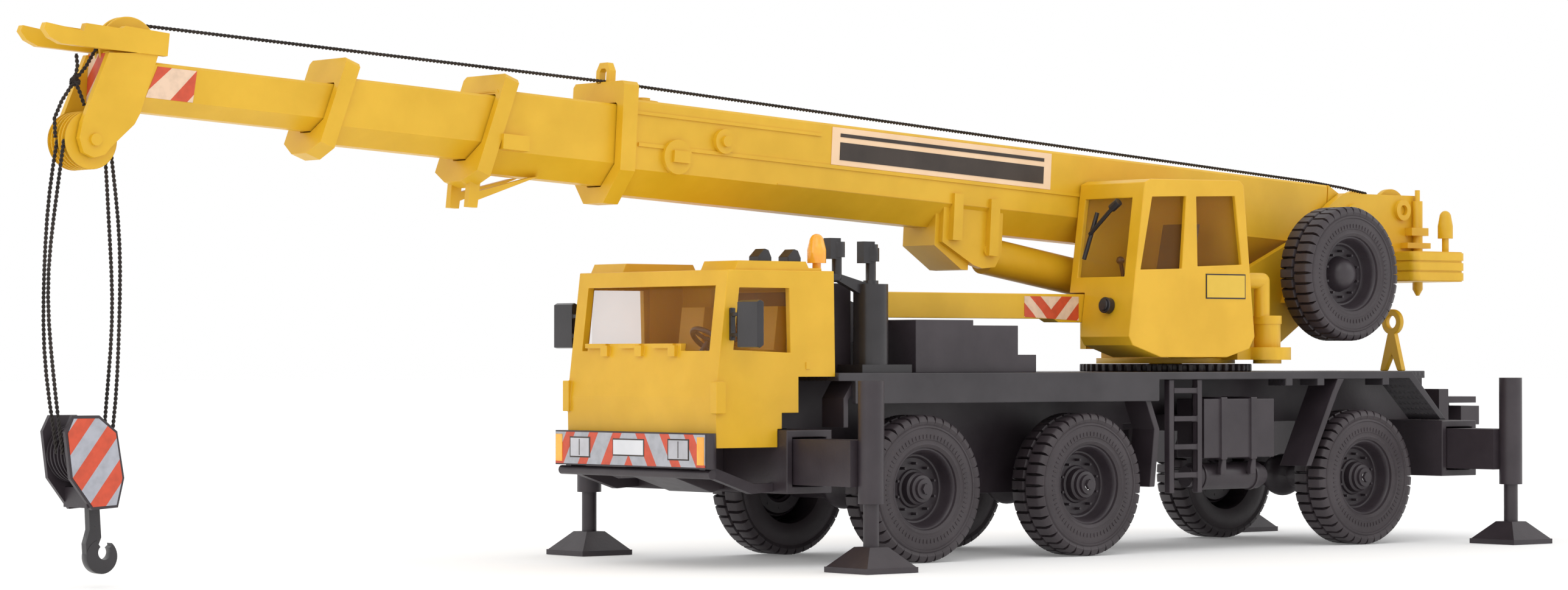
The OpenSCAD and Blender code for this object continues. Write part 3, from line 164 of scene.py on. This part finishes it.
def clear(name, tint):
    """Thin clear pane: mostly see-through, with a faint uneven film."""
    mat, tree, shader = new_material(name)
    paler = [1.25 * c for c in tint]
    colour = ramp(tree, object_noise(tree, 200), [(0.3, tint), (0.7, paler)])
    tree.links.new(colour, shader.inputs["Base Color"])
    tree.links.new(span(tree, object_noise(tree, 300), 0.03, 0.1), shader.inputs["Roughness"])
    tree.links.new(span(tree, object_noise(tree, 90, 2), 0.08, 0.16), shader.inputs["Alpha"])
    return mat


def amber_lens(name, low, high):
    """Amber plastic dome with upright ribs."""
    mat, tree, shader = new_material(name)
    colour = ramp(tree, object_noise(tree, 500, 3), [(0.3, low), (0.7, high)])
    tree.links.new(colour, shader.inputs["Base Color"])
    shader.inputs["Roughness"].default_value = 0.22
    shader.inputs["Subsurface Weight"].default_value = 0.35
    shader.inputs["Subsurface Radius"].default_value = (0.002, 0.0008, 0.0002)
    shader.inputs["Coat Weight"].default_value = 0.4
    bump(tree, shader, object_noise(tree, 1800, 2), 0.25, 0.00005)
    return mat


def printed(name, paper, ink, period, lean, width=0.5, mirror=None, offset=0.0):
    """A printed foil with leaning stripes, its UV map in millimetres. mirror is where the lean turns over."""
    mat, tree, shader = new_material(name)
    uv = tree.nodes.new("ShaderNodeUVMap")
    split = tree.nodes.new("ShaderNodeSeparateXYZ")
    tree.links.new(uv.outputs["UV"], split.inputs["Vector"])

    def maths(kind, a, b=None):
        made = tree.nodes.new("ShaderNodeMath")
        made.operation = kind
        for i, value in enumerate((a, b)):
            if value is None:
                continue
            if isinstance(value, (int, float)):
                made.inputs[i].default_value = value
            else:
                tree.links.new(value, made.inputs[i])
        return made.outputs["Value"]

    along = split.outputs["X"]
    if mirror is not None:
        along = maths("ABSOLUTE", maths("SUBTRACT", along, mirror))
    leaning = maths("ADD", along, maths("MULTIPLY", split.outputs["Y"], lean))
    phase = maths("FRACT", maths("DIVIDE", maths("ADD", leaning, offset), period))
    striped = ramp(tree, phase, [(0.0, ink), (width, paper)], "CONSTANT")
    blotch = ramp(tree, object_noise(tree, 900, 3), [(0.3, (0.82, 0.82, 0.82)), (0.6, (1, 1, 1))])
    mix = tree.nodes.new("ShaderNodeMix")
    mix.data_type = "RGBA"
    mix.blend_type = "MULTIPLY"
    mix.inputs["Factor"].default_value = 1.0
    tree.links.new(striped, mix.inputs["A"])
    tree.links.new(blotch, mix.inputs["B"])
    tree.links.new(mix.outputs["Result"], shader.inputs["Base Color"])
    tree.links.new(span(tree, object_noise(tree, 700), 0.3, 0.45), shader.inputs["Roughness"])
    bump(tree, shader, object_noise(tree, 2400, 2), 0.15, 0.00003)
    return mat


YELLOW = moulded("crane_yellow_plastic", (0.66, 0.38, 0.010), (0.73, 0.43, 0.018), (0.36, 0.5), 0.12, 0.2)
YELLOW_CAB = moulded("cab_yellow_plastic", (0.68, 0.385, 0.010), (0.75, 0.435, 0.018), (0.34, 0.48), 0.1,
                     0.25)
BLACK = moulded("chassis_black_plastic", (0.026, 0.019, 0.024), (0.040, 0.031, 0.037), (0.34, 0.5), 0.3)
BLACK_GLOSS = moulded("black_trim_plastic", (0.018, 0.016, 0.018), (0.028, 0.025, 0.028), (0.24, 0.36), 0.2)
RUBBER = moulded("tyre_plastic", (0.030, 0.022, 0.026), (0.046, 0.036, 0.041), (0.42, 0.58), 0.5)
DECK = treadplate("deck_plastic", (0.026, 0.022, 0.026), (0.042, 0.037, 0.042))
PANE = clear("window_pane", (0.42, 0.17, 0.03))
AMBER = amber_lens("beacon_amber", (0.9, 0.36, 0.02), (1.0, 0.5, 0.05))
THREAD = moulded("hoist_thread", (0.012, 0.009, 0.008), (0.035, 0.026, 0.022), (0.7, 0.9), 0.6)
LAMP_GREY = moulded("lamp_print", (0.42, 0.42, 0.45), (0.6, 0.6, 0.64), (0.3, 0.4), 0.15)
PLATE_GREY = moulded("plate_print", (0.62, 0.63, 0.66), (0.72, 0.73, 0.76), (0.3, 0.4), 0.15)
PANEL_PINK = moulded("panel_print", (0.82, 0.56, 0.34), (0.88, 0.64, 0.42), (0.3, 0.42), 0.1)
INK = moulded("dark_print", (0.022, 0.013, 0.008), (0.04, 0.026, 0.018), (0.35, 0.45), 0.15)
LABEL = moulded("label_print", (0.66, 0.42, 0.03), (0.74, 0.48, 0.05), (0.35, 0.45), 0.15)
RED = (0.62, 0.075, 0.028)
FOIL_WARM = (0.78, 0.56, 0.40)
FOIL_GREY = (0.42, 0.43, 0.47)

LOOKS = {
    YELLOW: ["slew_frame", "front_arm", "slew_motor", "counterweight", "rear_beacon", "winch_drum",
             "boom_base", "boom_section_2", "boom_section_3", "boom_section_4", "luff_barrel", "luff_rod",
             "head_sheave_upper", "head_sheave_lower", "hook_stand"],
    YELLOW_CAB: ["cab_shell", "crane_cab_shell", "cab_interior"],
    BLACK: ["chassis_frame", "mudguards", "front_bumper", "engine_cover", "side_boxes", "air_tanks",
            "ladders", "outrigger_boxes", "ring_gear", "outrigger_beam_fl", "outrigger_beam_fr",
            "outrigger_beam_rl", "outrigger_beam_rr", "jack_leg_fl", "jack_leg_fr", "jack_leg_rl",
            "jack_leg_rr", "block_frame", "block_sheave"],
    BLACK_GLOSS: ["steering_wheel", "cab_mirrors", "roof_horns", "air_filter", "crane_cab_interior",
                  "crane_hook"],
    DECK: ["deck"],
    PANE: ["cab_glazing", "crane_cab_glazing"],
    AMBER: ["cab_beacon"],
}


def dress_cad():
    """Every CAD node that stays gets its material and softly rounded edges."""
    for mat, names in LOOKS.items():
        for name in names:
            obj = NODES[name]
            obj.data.materials.clear()
            obj.data.materials.append(mat)
            weld = obj.modifiers.new("weld", "WELD")
            weld.merge_threshold = 1e-6
            edge = obj.modifiers.new("edge", "BEVEL")
            edge.width = 0.00011
            edge.segments = 2
            edge.limit_method = "ANGLE"
            edge.angle_limit = math.radians(35)
            edge.use_clamp_overlap = True
            obj.modifiers.new("shade", "WEIGHTED_NORMAL").keep_sharp = True


# ---- Mesh helpers ----

def make(name, bm, mat, body, bevel=0.0, smooth=False, stands_for=()):
    mesh = bpy.data.meshes.new(name)
    bmesh.ops.recalc_face_normals(bm, faces=bm.faces)
    if smooth:
        for face in bm.faces:
            face.smooth = True
    bm.to_mesh(mesh)
    bm.free()
    obj = bpy.data.objects.new(name, mesh)
    bpy.context.scene.collection.objects.link(obj)
    mesh.materials.append(mat)
    if bevel:
        edge = obj.modifiers.new("edge", "BEVEL")
        edge.width = bevel * MM
        edge.segments = 2
        edge.limit_method = "ANGLE"
        edge.angle_limit = math.radians(35)
    if smooth:
        sharp = obj.modifiers.new("sharp", "EDGE_SPLIT")
        sharp.split_angle = math.radians(40)
    if body:
        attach(obj, body)
    if stands_for:
        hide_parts(*stands_for)
    return obj


def add_prism(bm, low, high):
    """A closed prism between two outlines with the same number of points."""
    a = [bm.verts.new(p) for p in low]
    b = [bm.verts.new(p) for p in high]
    n = len(a)
    bm.faces.new(a[::-1])
    bm.faces.new(b)
    for i in range(n):
        bm.faces.new((a[i], a[(i + 1) % n], b[(i + 1) % n], b[i]))


def add_box(bm, x, y, z):
    corners = ((x[0], y[0]), (x[1], y[0]), (x[1], y[1]), (x[0], y[1]))
    add_prism(bm, [at(i, j, z[0]) for i, j in corners], [at(i, j, z[1]) for i, j in corners])


def add_round(bm, centre, side, outline, steps=96):
    """Turns an outline of (radius, reach) about the Y axis through centre. side is +1 left, -1 right."""
    rings = []
    for r, w in outline:
        if r == 0:
            rings.append([bm.verts.new(centre + Vector((0, side * w * MM, 0)))])
            continue
        rings.append([bm.verts.new(centre + Vector((r * math.cos(t), side * w, r * math.sin(t))) * MM)
                      for t in (2 * math.pi * i / steps for i in range(steps))])
    for a, b in zip(rings, rings[1:]):
        for i in range(steps):
            j = (i + 1) % steps
            corners = [a[i % len(a)], a[j % len(a)], b[j % len(b)], b[i % len(b)]]
            bm.faces.new(list(dict.fromkeys(corners)))


def add_bar(bm, a, b, radius, steps=12):
    """A round bar from a to b, both in metres."""
    along = (b - a).normalized()
    turn = along.to_track_quat("Z", "Y").to_matrix()
    ring = [turn @ Vector((math.cos(t), math.sin(t), 0)) * radius * MM
            for t in (2 * math.pi * i / steps for i in range(steps))]
    add_prism(bm, [a + v for v in ring], [b + v for v in ring])


# ---- Wheels ----

# Outline of a tyre: radius, then reach outwards from its inner face
TYRE_OUTLINE = [(4.5, 0.9), (4.6, 0.45), (5.3, 0.12), (6.3, 0.02), (7.0, 0.1), (7.35, 0.45), (7.6, 1.0),
                (7.6, 4.0), (7.35, 4.55), (7.05, 4.86), (6.95, 4.93), (6.82, 4.93), (6.76, 4.84), (6.3, 4.9),
                (5.5, 4.92), (5.4, 4.82), (5.1, 4.8), (4.95, 4.86), (4.6, 4.62), (4.5, 4.2)]
LUG_OUTLINE = [(7.12, 4.80), (7.5, 4.97), (7.95, 4.80), (8.19, 4.4), (8.19, 2.75), (7.9, 2.6), (7.25, 2.6),
               (7.15, 4.4)]
LUGS = 40
SIDE_RIBS = 68
RIM_OUTLINE = [(4.9, 1.0), (4.9, 4.25), (4.6, 4.45), (4.35, 4.45), (4.22, 4.3), (4.1, 3.9), (3.95, 3.0),
               (3.8, 2.75), (3.62, 2.7), (3.55, 2.5), (3.42, 2.35), (2.2, 2.35), (2.1, 2.6), (1.85, 2.7),
               (1.8, 3.5), (1.55, 3.7), (1.5, 4.1), (1.15, 4.2), (1.1, 4.55), (0.62, 4.6)]
SPARE_OUTLINE = RIM_OUTLINE[:12] + [(2.05, 2.7), (1.9, 3.3), (1.55, 3.85), (1.0, 4.2), (0.5, 4.35), (0, 4.38)]


def add_tyre(bm, centre, side):
    add_round(bm, centre, side, TYRE_OUTLINE + TYRE_OUTLINE[:1], 136)
    for row in (0, 1):
        for i in range(LUGS):
            mid = 2 * math.pi * (i + 0.5 * row) / LUGS
            ends = []
            for sign in (-1, 1):
                end = []
                for r, w in LUG_OUTLINE:
                    half = (0.56 if r < 7.6 else 0.47) / r
                    t = mid + sign * half
                    reach = w if row else TYRE_W - w
                    end.append(centre + Vector((r * math.cos(t), side * reach, r * math.sin(t))) * MM)
                ends.append(end)
            add_prism(bm, *ends)
    for i in range(SIDE_RIBS):
        t = 2 * math.pi * i / SIDE_RIBS
        across = Vector((-math.sin(t), 0, math.cos(t))) * 0.06 * MM
        inner = centre + Vector((5.6 * math.cos(t), side * 4.86, 5.6 * math.sin(t))) * MM
        outer = centre + Vector((6.05 * math.cos(t), side * 4.86, 6.05 * math.sin(t))) * MM
        lift = Vector((0, side * 0.12 * MM, 0))
        foot = [inner - across, outer - across, outer + across, inner + across]
        add_prism(bm, foot, [p + lift for p in foot])


def add_rim(bm, centre, side, outline, nut):
    add_round(bm, centre, side, outline)
    for i in range(10):
        t = math.radians(36 * i + 18)
        foot = centre + Vector((2.8 * math.cos(t), side * 2.3, 2.8 * math.sin(t))) * MM
        add_bar(bm, foot, foot + Vector((0, side * 0.62 * MM, 0)), 0.17, 6)
        foot += Vector((0, side * 0.6 * MM, 0))
        add_bar(bm, foot, foot + Vector((0, side * 0.25 * MM, 0)), 0.15, 8)
    if nut:
        face = centre + Vector((0, side * 4.55 * MM, 0))
        add_bar(bm, face, face + Vector((0, side * 0.4 * MM, 0)), 0.62, 6)


def build_wheels():
    for n, x in AXLES.items():
        for side, word in ((1, "left"), (-1, "right")):
            centre = at(x, side * (TRACK_HALF - TYRE_W), WHEEL_R)
            bm = bmesh.new()
            add_tyre(bm, centre, side)
            make("tyre_%d_%s" % (n, word), bm, RUBBER, "axle_%d" % n, smooth=True,
                 stands_for=["tyres_%d" % n])
            bm = bmesh.new()
            add_rim(bm, centre, side, RIM_OUTLINE, True)
            if side > 0:
                add_bar(bm, at(x, -10.5, WHEEL_R), at(x, 10.5, WHEEL_R), 0.8, 24)
            make("rim_%d_%s" % (n, word), bm, BLACK, "axle_%d" % n, smooth=True,
                 stands_for=["wheelset_%d" % n])
    centre = middle("spare_tyre")
    centre.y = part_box("spare_tyre")[0][1]
    bm = bmesh.new()
    add_tyre(bm, centre, 1)
    make("spare_tyre_lugs", bm, RUBBER, "superstructure", smooth=True, stands_for=["spare_tyre"])
    bm = bmesh.new()
    add_rim(bm, centre, 1, SPARE_OUTLINE, False)
    add_round(bm, centre, 1, [(0, 0.5), (4.9, 0.5), (4.9, 1.1)])
    make("spare_rim_disc", bm, BLACK, "superstructure", smooth=True,
         stands_for=["spare_rim"])


# ---- Printed foils ----

FOIL_THICK = 0.06


def foil(name, corners, size, mat, body, lift):
    """A thin printed plate. corners go round it, size is its length and height, lift is its normal."""
    bm = bmesh.new()
    uv = bm.loops.layers.uv.new("UVMap")
    places = [(0, 0), (size[0], 0), (size[0], size[1]), (0, size[1])]
    raise_by = Vector(lift).normalized() * FOIL_THICK * MM
    back = [bm.verts.new(p) for p in corners]
    front = [bm.verts.new(p + raise_by) for p in corners]
    faces = [(bm.faces.new(front), (0, 1, 2, 3)), (bm.faces.new(back[::-1]), (3, 2, 1, 0))]
    for i in range(4):
        j = (i + 1) % 4
        faces.append((bm.faces.new((back[i], back[j], front[j], front[i])), (i, j, j, i)))
    for face, order in faces:
        for loop, k in zip(face.loops, order):
            loop[uv].uv = places[k]
    return make(name, bm, mat, body)


def side_foil(name, outline, y, size, mat, body, place=at):
    """A foil on the left side. place turns the outline into metres: at, or boom for the boom's frame."""
    return foil(name, [place(a, y, b) for a, b in outline], size, mat, body, (0, 1, 0))


def build_foils():
    tip_side = 2.5
    panel_side = 3.86
    warm = printed("warm_stripes", FOIL_WARM, RED, 5.4, -0.8, 0.36, offset=2.6)
    tip = [(HEAD_S - 0.2, -1.6), (HEAD_S - 5.6, -1.6), (HEAD_S - 5.9, 1.6), (HEAD_S - 1.4, 1.6)]
    side_foil("boom_tip_foil", tip, tip_side, (5.4, 3.2), warm, "boom_4", boom)
    head = printed("head_stripes", FOIL_WARM, RED, 3.4, -0.9, 0.5, offset=2.2)
    end = HEAD_S + 3.91
    face = [boom(end, y, h) for y, h in ((-1.85, -2.3), (1.85, -2.3), (1.85, 2.45), (-1.85, 2.45))]
    forward = boom(1, 0, 0) - boom(0, 0, 0)
    foil("head_foil", face, (3.7, 4.75), head, "boom_4", forward)
    arrow = printed("arm_stripes", FOIL_WARM, RED, 3.4, -0.95, 0.5, mirror=4.2, offset=1.0)
    side_foil("arm_foil", [(2.4, 27.5), (-6.2, 27.1), (-6.2, 29.9), (2.4, 29.9)], 5.65, (8.6, 2.8), arrow,
              "superstructure")
    block = printed("block_stripes", (0.40, 0.41, 0.46), RED, 3.9, -0.76, 0.5, offset=0.4)
    x = 122.26
    z = 12.4
    outline = [(2.9, 2.95), (2.25, 4.4), (-0.5, 4.4), (-2.4, 2.95), (-3.15, -1.5), (-2.5, -4.15), (0.1, -4.3),
               (2.35, -1.4)]
    plate_foil("block_foil", [(x + a, z + b) for a, b in outline], BOOM_Y + 2.5, block, "hook_block")
    panel = [(84.4, -0.5), (50.8, -0.5), (50.8, 3.75), (84.4, 3.75)]
    side_foil("boom_panel", panel, panel_side, (33.6, 4.3), PANEL_PINK, "boom_1", boom)
    for i, (low, high) in enumerate(((0.1, 2.1), (2.7, 3.1))):
        band = [(83.2, low), (52.0, low), (52.0, high), (83.2, high)]
        side_foil("boom_panel_band_%d" % i, band, panel_side + FOIL_THICK, (30, 2), INK, "boom_1",
                  boom)


def plate_foil(name, outline, y, mat, body):
    """A printed foil cut to an outline of x and z, its UV map in millimetres."""
    bm = bmesh.new()
    uv = bm.loops.layers.uv.new("UVMap")
    add_prism(bm, [at(a, y, b) for a, b in outline], [at(a, y + FOIL_THICK, b) for a, b in outline])
    for face in bm.faces:
        for loop in face.loops:
            loop[uv].uv = ((ORIGIN_X - loop.vert.co.x) / MM, loop.vert.co.z / MM)
    return make(name, bm, mat, body)


def build_bumper_print():
    x = 55.5
    low = 11.05
    high = 14.55
    half = 13.5
    stripes = printed("bumper_stripes", FOIL_GREY, RED, 4.3, 0.62, 0.38, mirror=half, offset=0.9)
    foil("bumper_foil", [at(x, -half, low), at(x, half, low), at(x, half, high), at(x, -half, high)],
         (2 * half, high - low), stripes, "carrier", (1, 0, 0))
    for side in (-1, 1):
        word = "left" if side > 0 else "right"
        for part, mat, y, z, out in (("lamp", LAMP_GREY, (7.2, 10.6), (11.9, 13.9), 0.13),
                                     ("lamp_edge", INK, (7.0, 10.8), (11.75, 14.05), 0.09),
                                     ("lamp_bar", INK, (8.9, 9.0), (12.0, 13.8), 0.17),
                                     ("indicator", AMBER, (12.2, 13.4), (11.3, 14.3), 0.13)):
            bm = bmesh.new()
            add_box(bm, (x + 0.05, x + out), sorted((side * y[0], side * y[1])), z)
            make("bumper_%s_%s" % (part, word), bm, mat, "carrier", bevel=0.02)
    for part, mat, grow, out in (("edge", INK, 0.15, 0.09), ("face", PLATE_GREY, 0.0, 0.13)):
        bm = bmesh.new()
        add_box(bm, (x + 0.05, x + out), (-2.7 - grow, 2.7 + grow), (12.2 - grow, 13.8 + grow))
        make("bumper_plate_%s" % part, bm, mat, "carrier", bevel=0.02)


def build_cab_details():
    """Wiper, lamp and label of the crane cab."""
    bm = bmesh.new()
    add_bar(bm, at(-7.35, 5.4, 34.3), at(-8.1, 6.9, 39.8), 0.27)
    add_bar(bm, at(-7.6, 6.1, 37.2), at(-8.2, 9.8, 40.6), 0.25)
    add_bar(bm, at(-8.1, 9.3, 40.2), at(-8.25, 10.4, 41.0), 0.5)
    make("crane_cab_wiper", bm, BLACK_GLOSS, "superstructure", bevel=0.05)
    bm = bmesh.new()
    face = at(-6.9, 10.2, 28.8)
    add_bar(bm, face, face + Vector((0.9 * MM, 0, 0.1 * MM)), 0.95, 24)
    add_bar(bm, face + Vector((0.8 * MM, 0, 0.1 * MM)), face + Vector((1.15 * MM, 0, 0.14 * MM)), 0.7, 24)
    make("crane_cab_lamp", bm, BLACK_GLOSS, "superstructure", bevel=0.1)
    side = 14.0
    for part, mat, grow, out in (("edge", INK, 0.0, 0.06), ("face", LABEL, -0.16, 0.1)):
        bm = bmesh.new()
        add_box(bm, (-25.5 - grow, -18.9 + grow), (side, side + out), (29.7 - grow, 32.65 + grow))
        make("crane_cab_label_%s" % part, bm, mat, "superstructure")


# ---- Rope ----

def add_thread(bm, points, turn=0.9, radius=0.115, spread=0.095, sides=6):
    """Two strands laid round each other along a line of points, all in metres."""
    pieces = list(zip(points, points[1:]))
    length = sum((b - a).length for a, b in pieces) / MM
    steps = max(8, int(length / turn * 8))
    stations = []
    for i in range(steps + 1):
        want = length * MM * i / steps
        for a, b in pieces:
            reach = (b - a).length
            if want <= reach + 1e-9:
                stations.append((a.lerp(b, want / reach), (b - a).normalized()))
                break
            want -= reach
    for strand in (0, 1):
        rings = []
        for i, (point, along) in enumerate(stations):
            side = Vector((0, 1, 0))
            up = along.cross(side).normalized()
            t = 2 * math.pi * i / 8 + math.pi * strand
            centre = point + (side * math.cos(t) + up * math.sin(t)) * spread * MM
            rings.append([bm.verts.new(centre + (side * math.cos(k) + up * math.sin(k)) * radius * MM)
                          for k in (2 * math.pi * j / sides for j in range(sides))])
        bm.faces.new(rings[0][::-1])
        bm.faces.new(rings[-1])
        for a, b in zip(rings, rings[1:]):
            for j in range(sides):
                bm.faces.new((a[j], a[(j + 1) % sides], b[(j + 1) % sides], b[j]))


# Where the rope passes the front of the base section and meets the upper sheave, as (s, h)
BASE_GUIDE = (113.5, 6.05)
HEAD_TOP = (172.7, 5.77)


def rope_h(s):
    return BASE_GUIDE[1] + (HEAD_TOP[1] - BASE_GUIDE[1]) * (s - BASE_GUIDE[0]) / (HEAD_TOP[0] - BASE_GUIDE[0])


def build_rope():
    runs = {
        "thread_base": ([(-7.4, 4.1), (-3, 4.45), (3, 4.72), BASE_GUIDE], "rope_base"),
        "thread_2": ([BASE_GUIDE, (C2_S + 1, rope_h(C2_S + 1))], "rope_run_2"),
        "thread_3": ([(C2_S + 1, rope_h(C2_S + 1)), (C3_S + 1, rope_h(C3_S + 1))], "rope_run_3"),
    }
    for i, (name, (points, cad)) in enumerate(runs.items()):
        bm = bmesh.new()
        line = [boom(s, 0, h) for s, h in points]
        add_thread(bm, line)
        obj = make(name, bm, THREAD, None if i else "boom_1", smooth=True, stands_for=[cad])
        if i:
            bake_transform(obj)
    bm = bmesh.new()
    line = [boom(C3_S + 1, 0, rope_h(C3_S + 1)), boom(HEAD_TOP[0], 0, HEAD_TOP[1])]
    add_thread(bm, line)
    obj = make("thread_4", bm, THREAD, None, smooth=True, stands_for=["rope_run_4"])
    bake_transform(obj)
    bm = bmesh.new()
    top = (HEAD_S + 0.9, 3.15)
    wrap_r = 2.62
    wrap = [boom(top[0] + wrap_r * math.cos(math.radians(a)), 0, top[1] + wrap_r * math.sin(math.radians(a)))
            for a in range(94, 10, -12)]
    add_thread(bm, wrap + [boom(HEAD_S + 4.4, 0, 2.6)])
    knot = boom(HEAD_S + 6.55, 0.3, -0.5)
    add_thread(bm, [boom(HEAD_S + 4.4, 0, 2.6), boom(HEAD_S + 5.4, 0.3, 1.0), knot])
    add_thread(bm, [knot, boom(HEAD_S + 6.3, 0.2, 1.0), boom(HEAD_S + 6.45, 0.1, 2.2)])
    add_thread(bm, [knot, boom(HEAD_S + 6.0, 0.5, -1.7), boom(HEAD_S + 5.5, 0.6, -2.9)])
    hanging = [boom(HEAD_S + s, 0, h) for s, h in ((7.7, -2.6), (8.4, -4.4), (8.2, -6.3))]
    add_thread(bm, [knot] + hanging)
    for reach in (0.22, 0.42):
        ring = [knot + Vector((reach * math.cos(t), 0.25 * math.sin(2 * t), reach * math.sin(t))) * MM
                for t in (2 * math.pi * i / 12 for i in range(13))]
        add_thread(bm, ring)
    make("thread_head", bm, THREAD, "boom_4", smooth=True)
    bm = bmesh.new()
    head = boom(HEAD_S + 5.2, 0, -6.32)
    low_z = 13.3
    groove_out = 2.78
    for side, y in ((1, 0), (1, 1.4), (-1, 0.7), (-1, -0.7)):
        x = (head.x - ORIGIN_X) / MM + side * groove_out
        z = head.z / MM
        bow = (1.5 if side > 0 else 1.05) + 0.12 * y
        line = []
        for k in range(13):
            t = k / 12
            sway = 0.07 * math.sin(11 * t + 2 * y)
            line.append(at(x + side * bow * math.sin(math.pi * t) + sway, BOOM_Y + y, z + (low_z - z) * t))
        add_thread(bm, line)
    make("thread_falls", bm, THREAD, "hook_block", smooth=True, stands_for=["rope_falls"])


# ---- Stage ----

def build_stage():
    bm = bmesh.new()
    reach = 3.0
    for x, y in ((-reach, -reach), (reach, -reach), (reach, reach), (-reach, reach)):
        bm.verts.new((x, y, -0.00002))
    bm.faces.new(bm.verts)
    mesh = bpy.data.meshes.new("floor")
    bm.to_mesh(mesh)
    bm.free()
    floor = bpy.data.objects.new("floor", mesh)
    bpy.context.scene.collection.objects.link(floor)
    mat, tree, shader = new_material("pale_floor")
    tree.links.new(ramp(tree, object_noise(tree, 3, 2), [(0.3, (0.9, 0.9, 0.9)), (0.7, (0.94, 0.94, 0.94))]),
                   shader.inputs["Base Color"])
    shader.inputs["Roughness"].default_value = 0.9
    shader.inputs["Specular IOR Level"].default_value = 0.1
    shader.inputs["Emission Color"].default_value = (1, 1, 1, 1)
    shader.inputs["Emission Strength"].default_value = 0.12
    mesh.materials.append(mat)


def area_light(name, place, aim, size, power, tint=(1, 1, 1)):
    data = bpy.data.lights.new(name, "AREA")
    data.shape = "RECTANGLE"
    data.size, data.size_y = size
    data.energy = power
    data.color = tint
    obj = bpy.data.objects.new(name, data)
    obj.location = place
    obj.rotation_euler = (Vector(aim) - Vector(place)).to_track_quat("-Z", "Y").to_euler()
    bpy.context.scene.collection.objects.link(obj)


def build_lights():
    world = bpy.data.worlds.new("studio")
    world.use_nodes = True
    world.node_tree.nodes["Background"].inputs["Color"].default_value = (1, 1, 1, 1)
    world.node_tree.nodes["Background"].inputs["Strength"].default_value = 1.0
    bpy.context.scene.world = world
    area_light("key", (0.35, 0.45, 0.6), (0, 0, 0.03), (0.5, 0.5), 1.0, (1, 0.98, 0.95))
    area_light("front", (0.7, 0.05, 0.25), (0.05, 0, 0.03), (0.35, 0.35), 0.3)
    area_light("rear", (-0.5, 0.4, 0.35), (-0.03, 0, 0.03), (0.4, 0.3), 0.3)
    bpy.context.scene.view_settings.view_transform = "Standard"


def build_camera():
    """Long lens, a little above the deck, from the truck's left front."""
    yaw, pitch = math.radians(39.086), math.radians(0.874)
    data = bpy.data.cameras.new("camera")
    data.sensor_width = 36.0
    data.lens = 93.22
    data.clip_start = 0.01
    data.clip_end = 20
    camera = bpy.data.objects.new("camera", data)
    camera.location = at(321.2, 353.9, 22.84)
    look = Vector((-math.sin(yaw) * math.cos(pitch), -math.cos(yaw) * math.cos(pitch), math.sin(pitch)))
    camera.rotation_euler = look.to_track_quat("-Z", "Y").to_euler()
    bpy.context.scene.collection.objects.link(camera)
    bpy.context.scene.camera = camera


build_camera()
build_lights()
build_stage()
dress_cad()
build_wheels()
build_foils()
build_bumper_print()
build_cab_details()
build_rope()
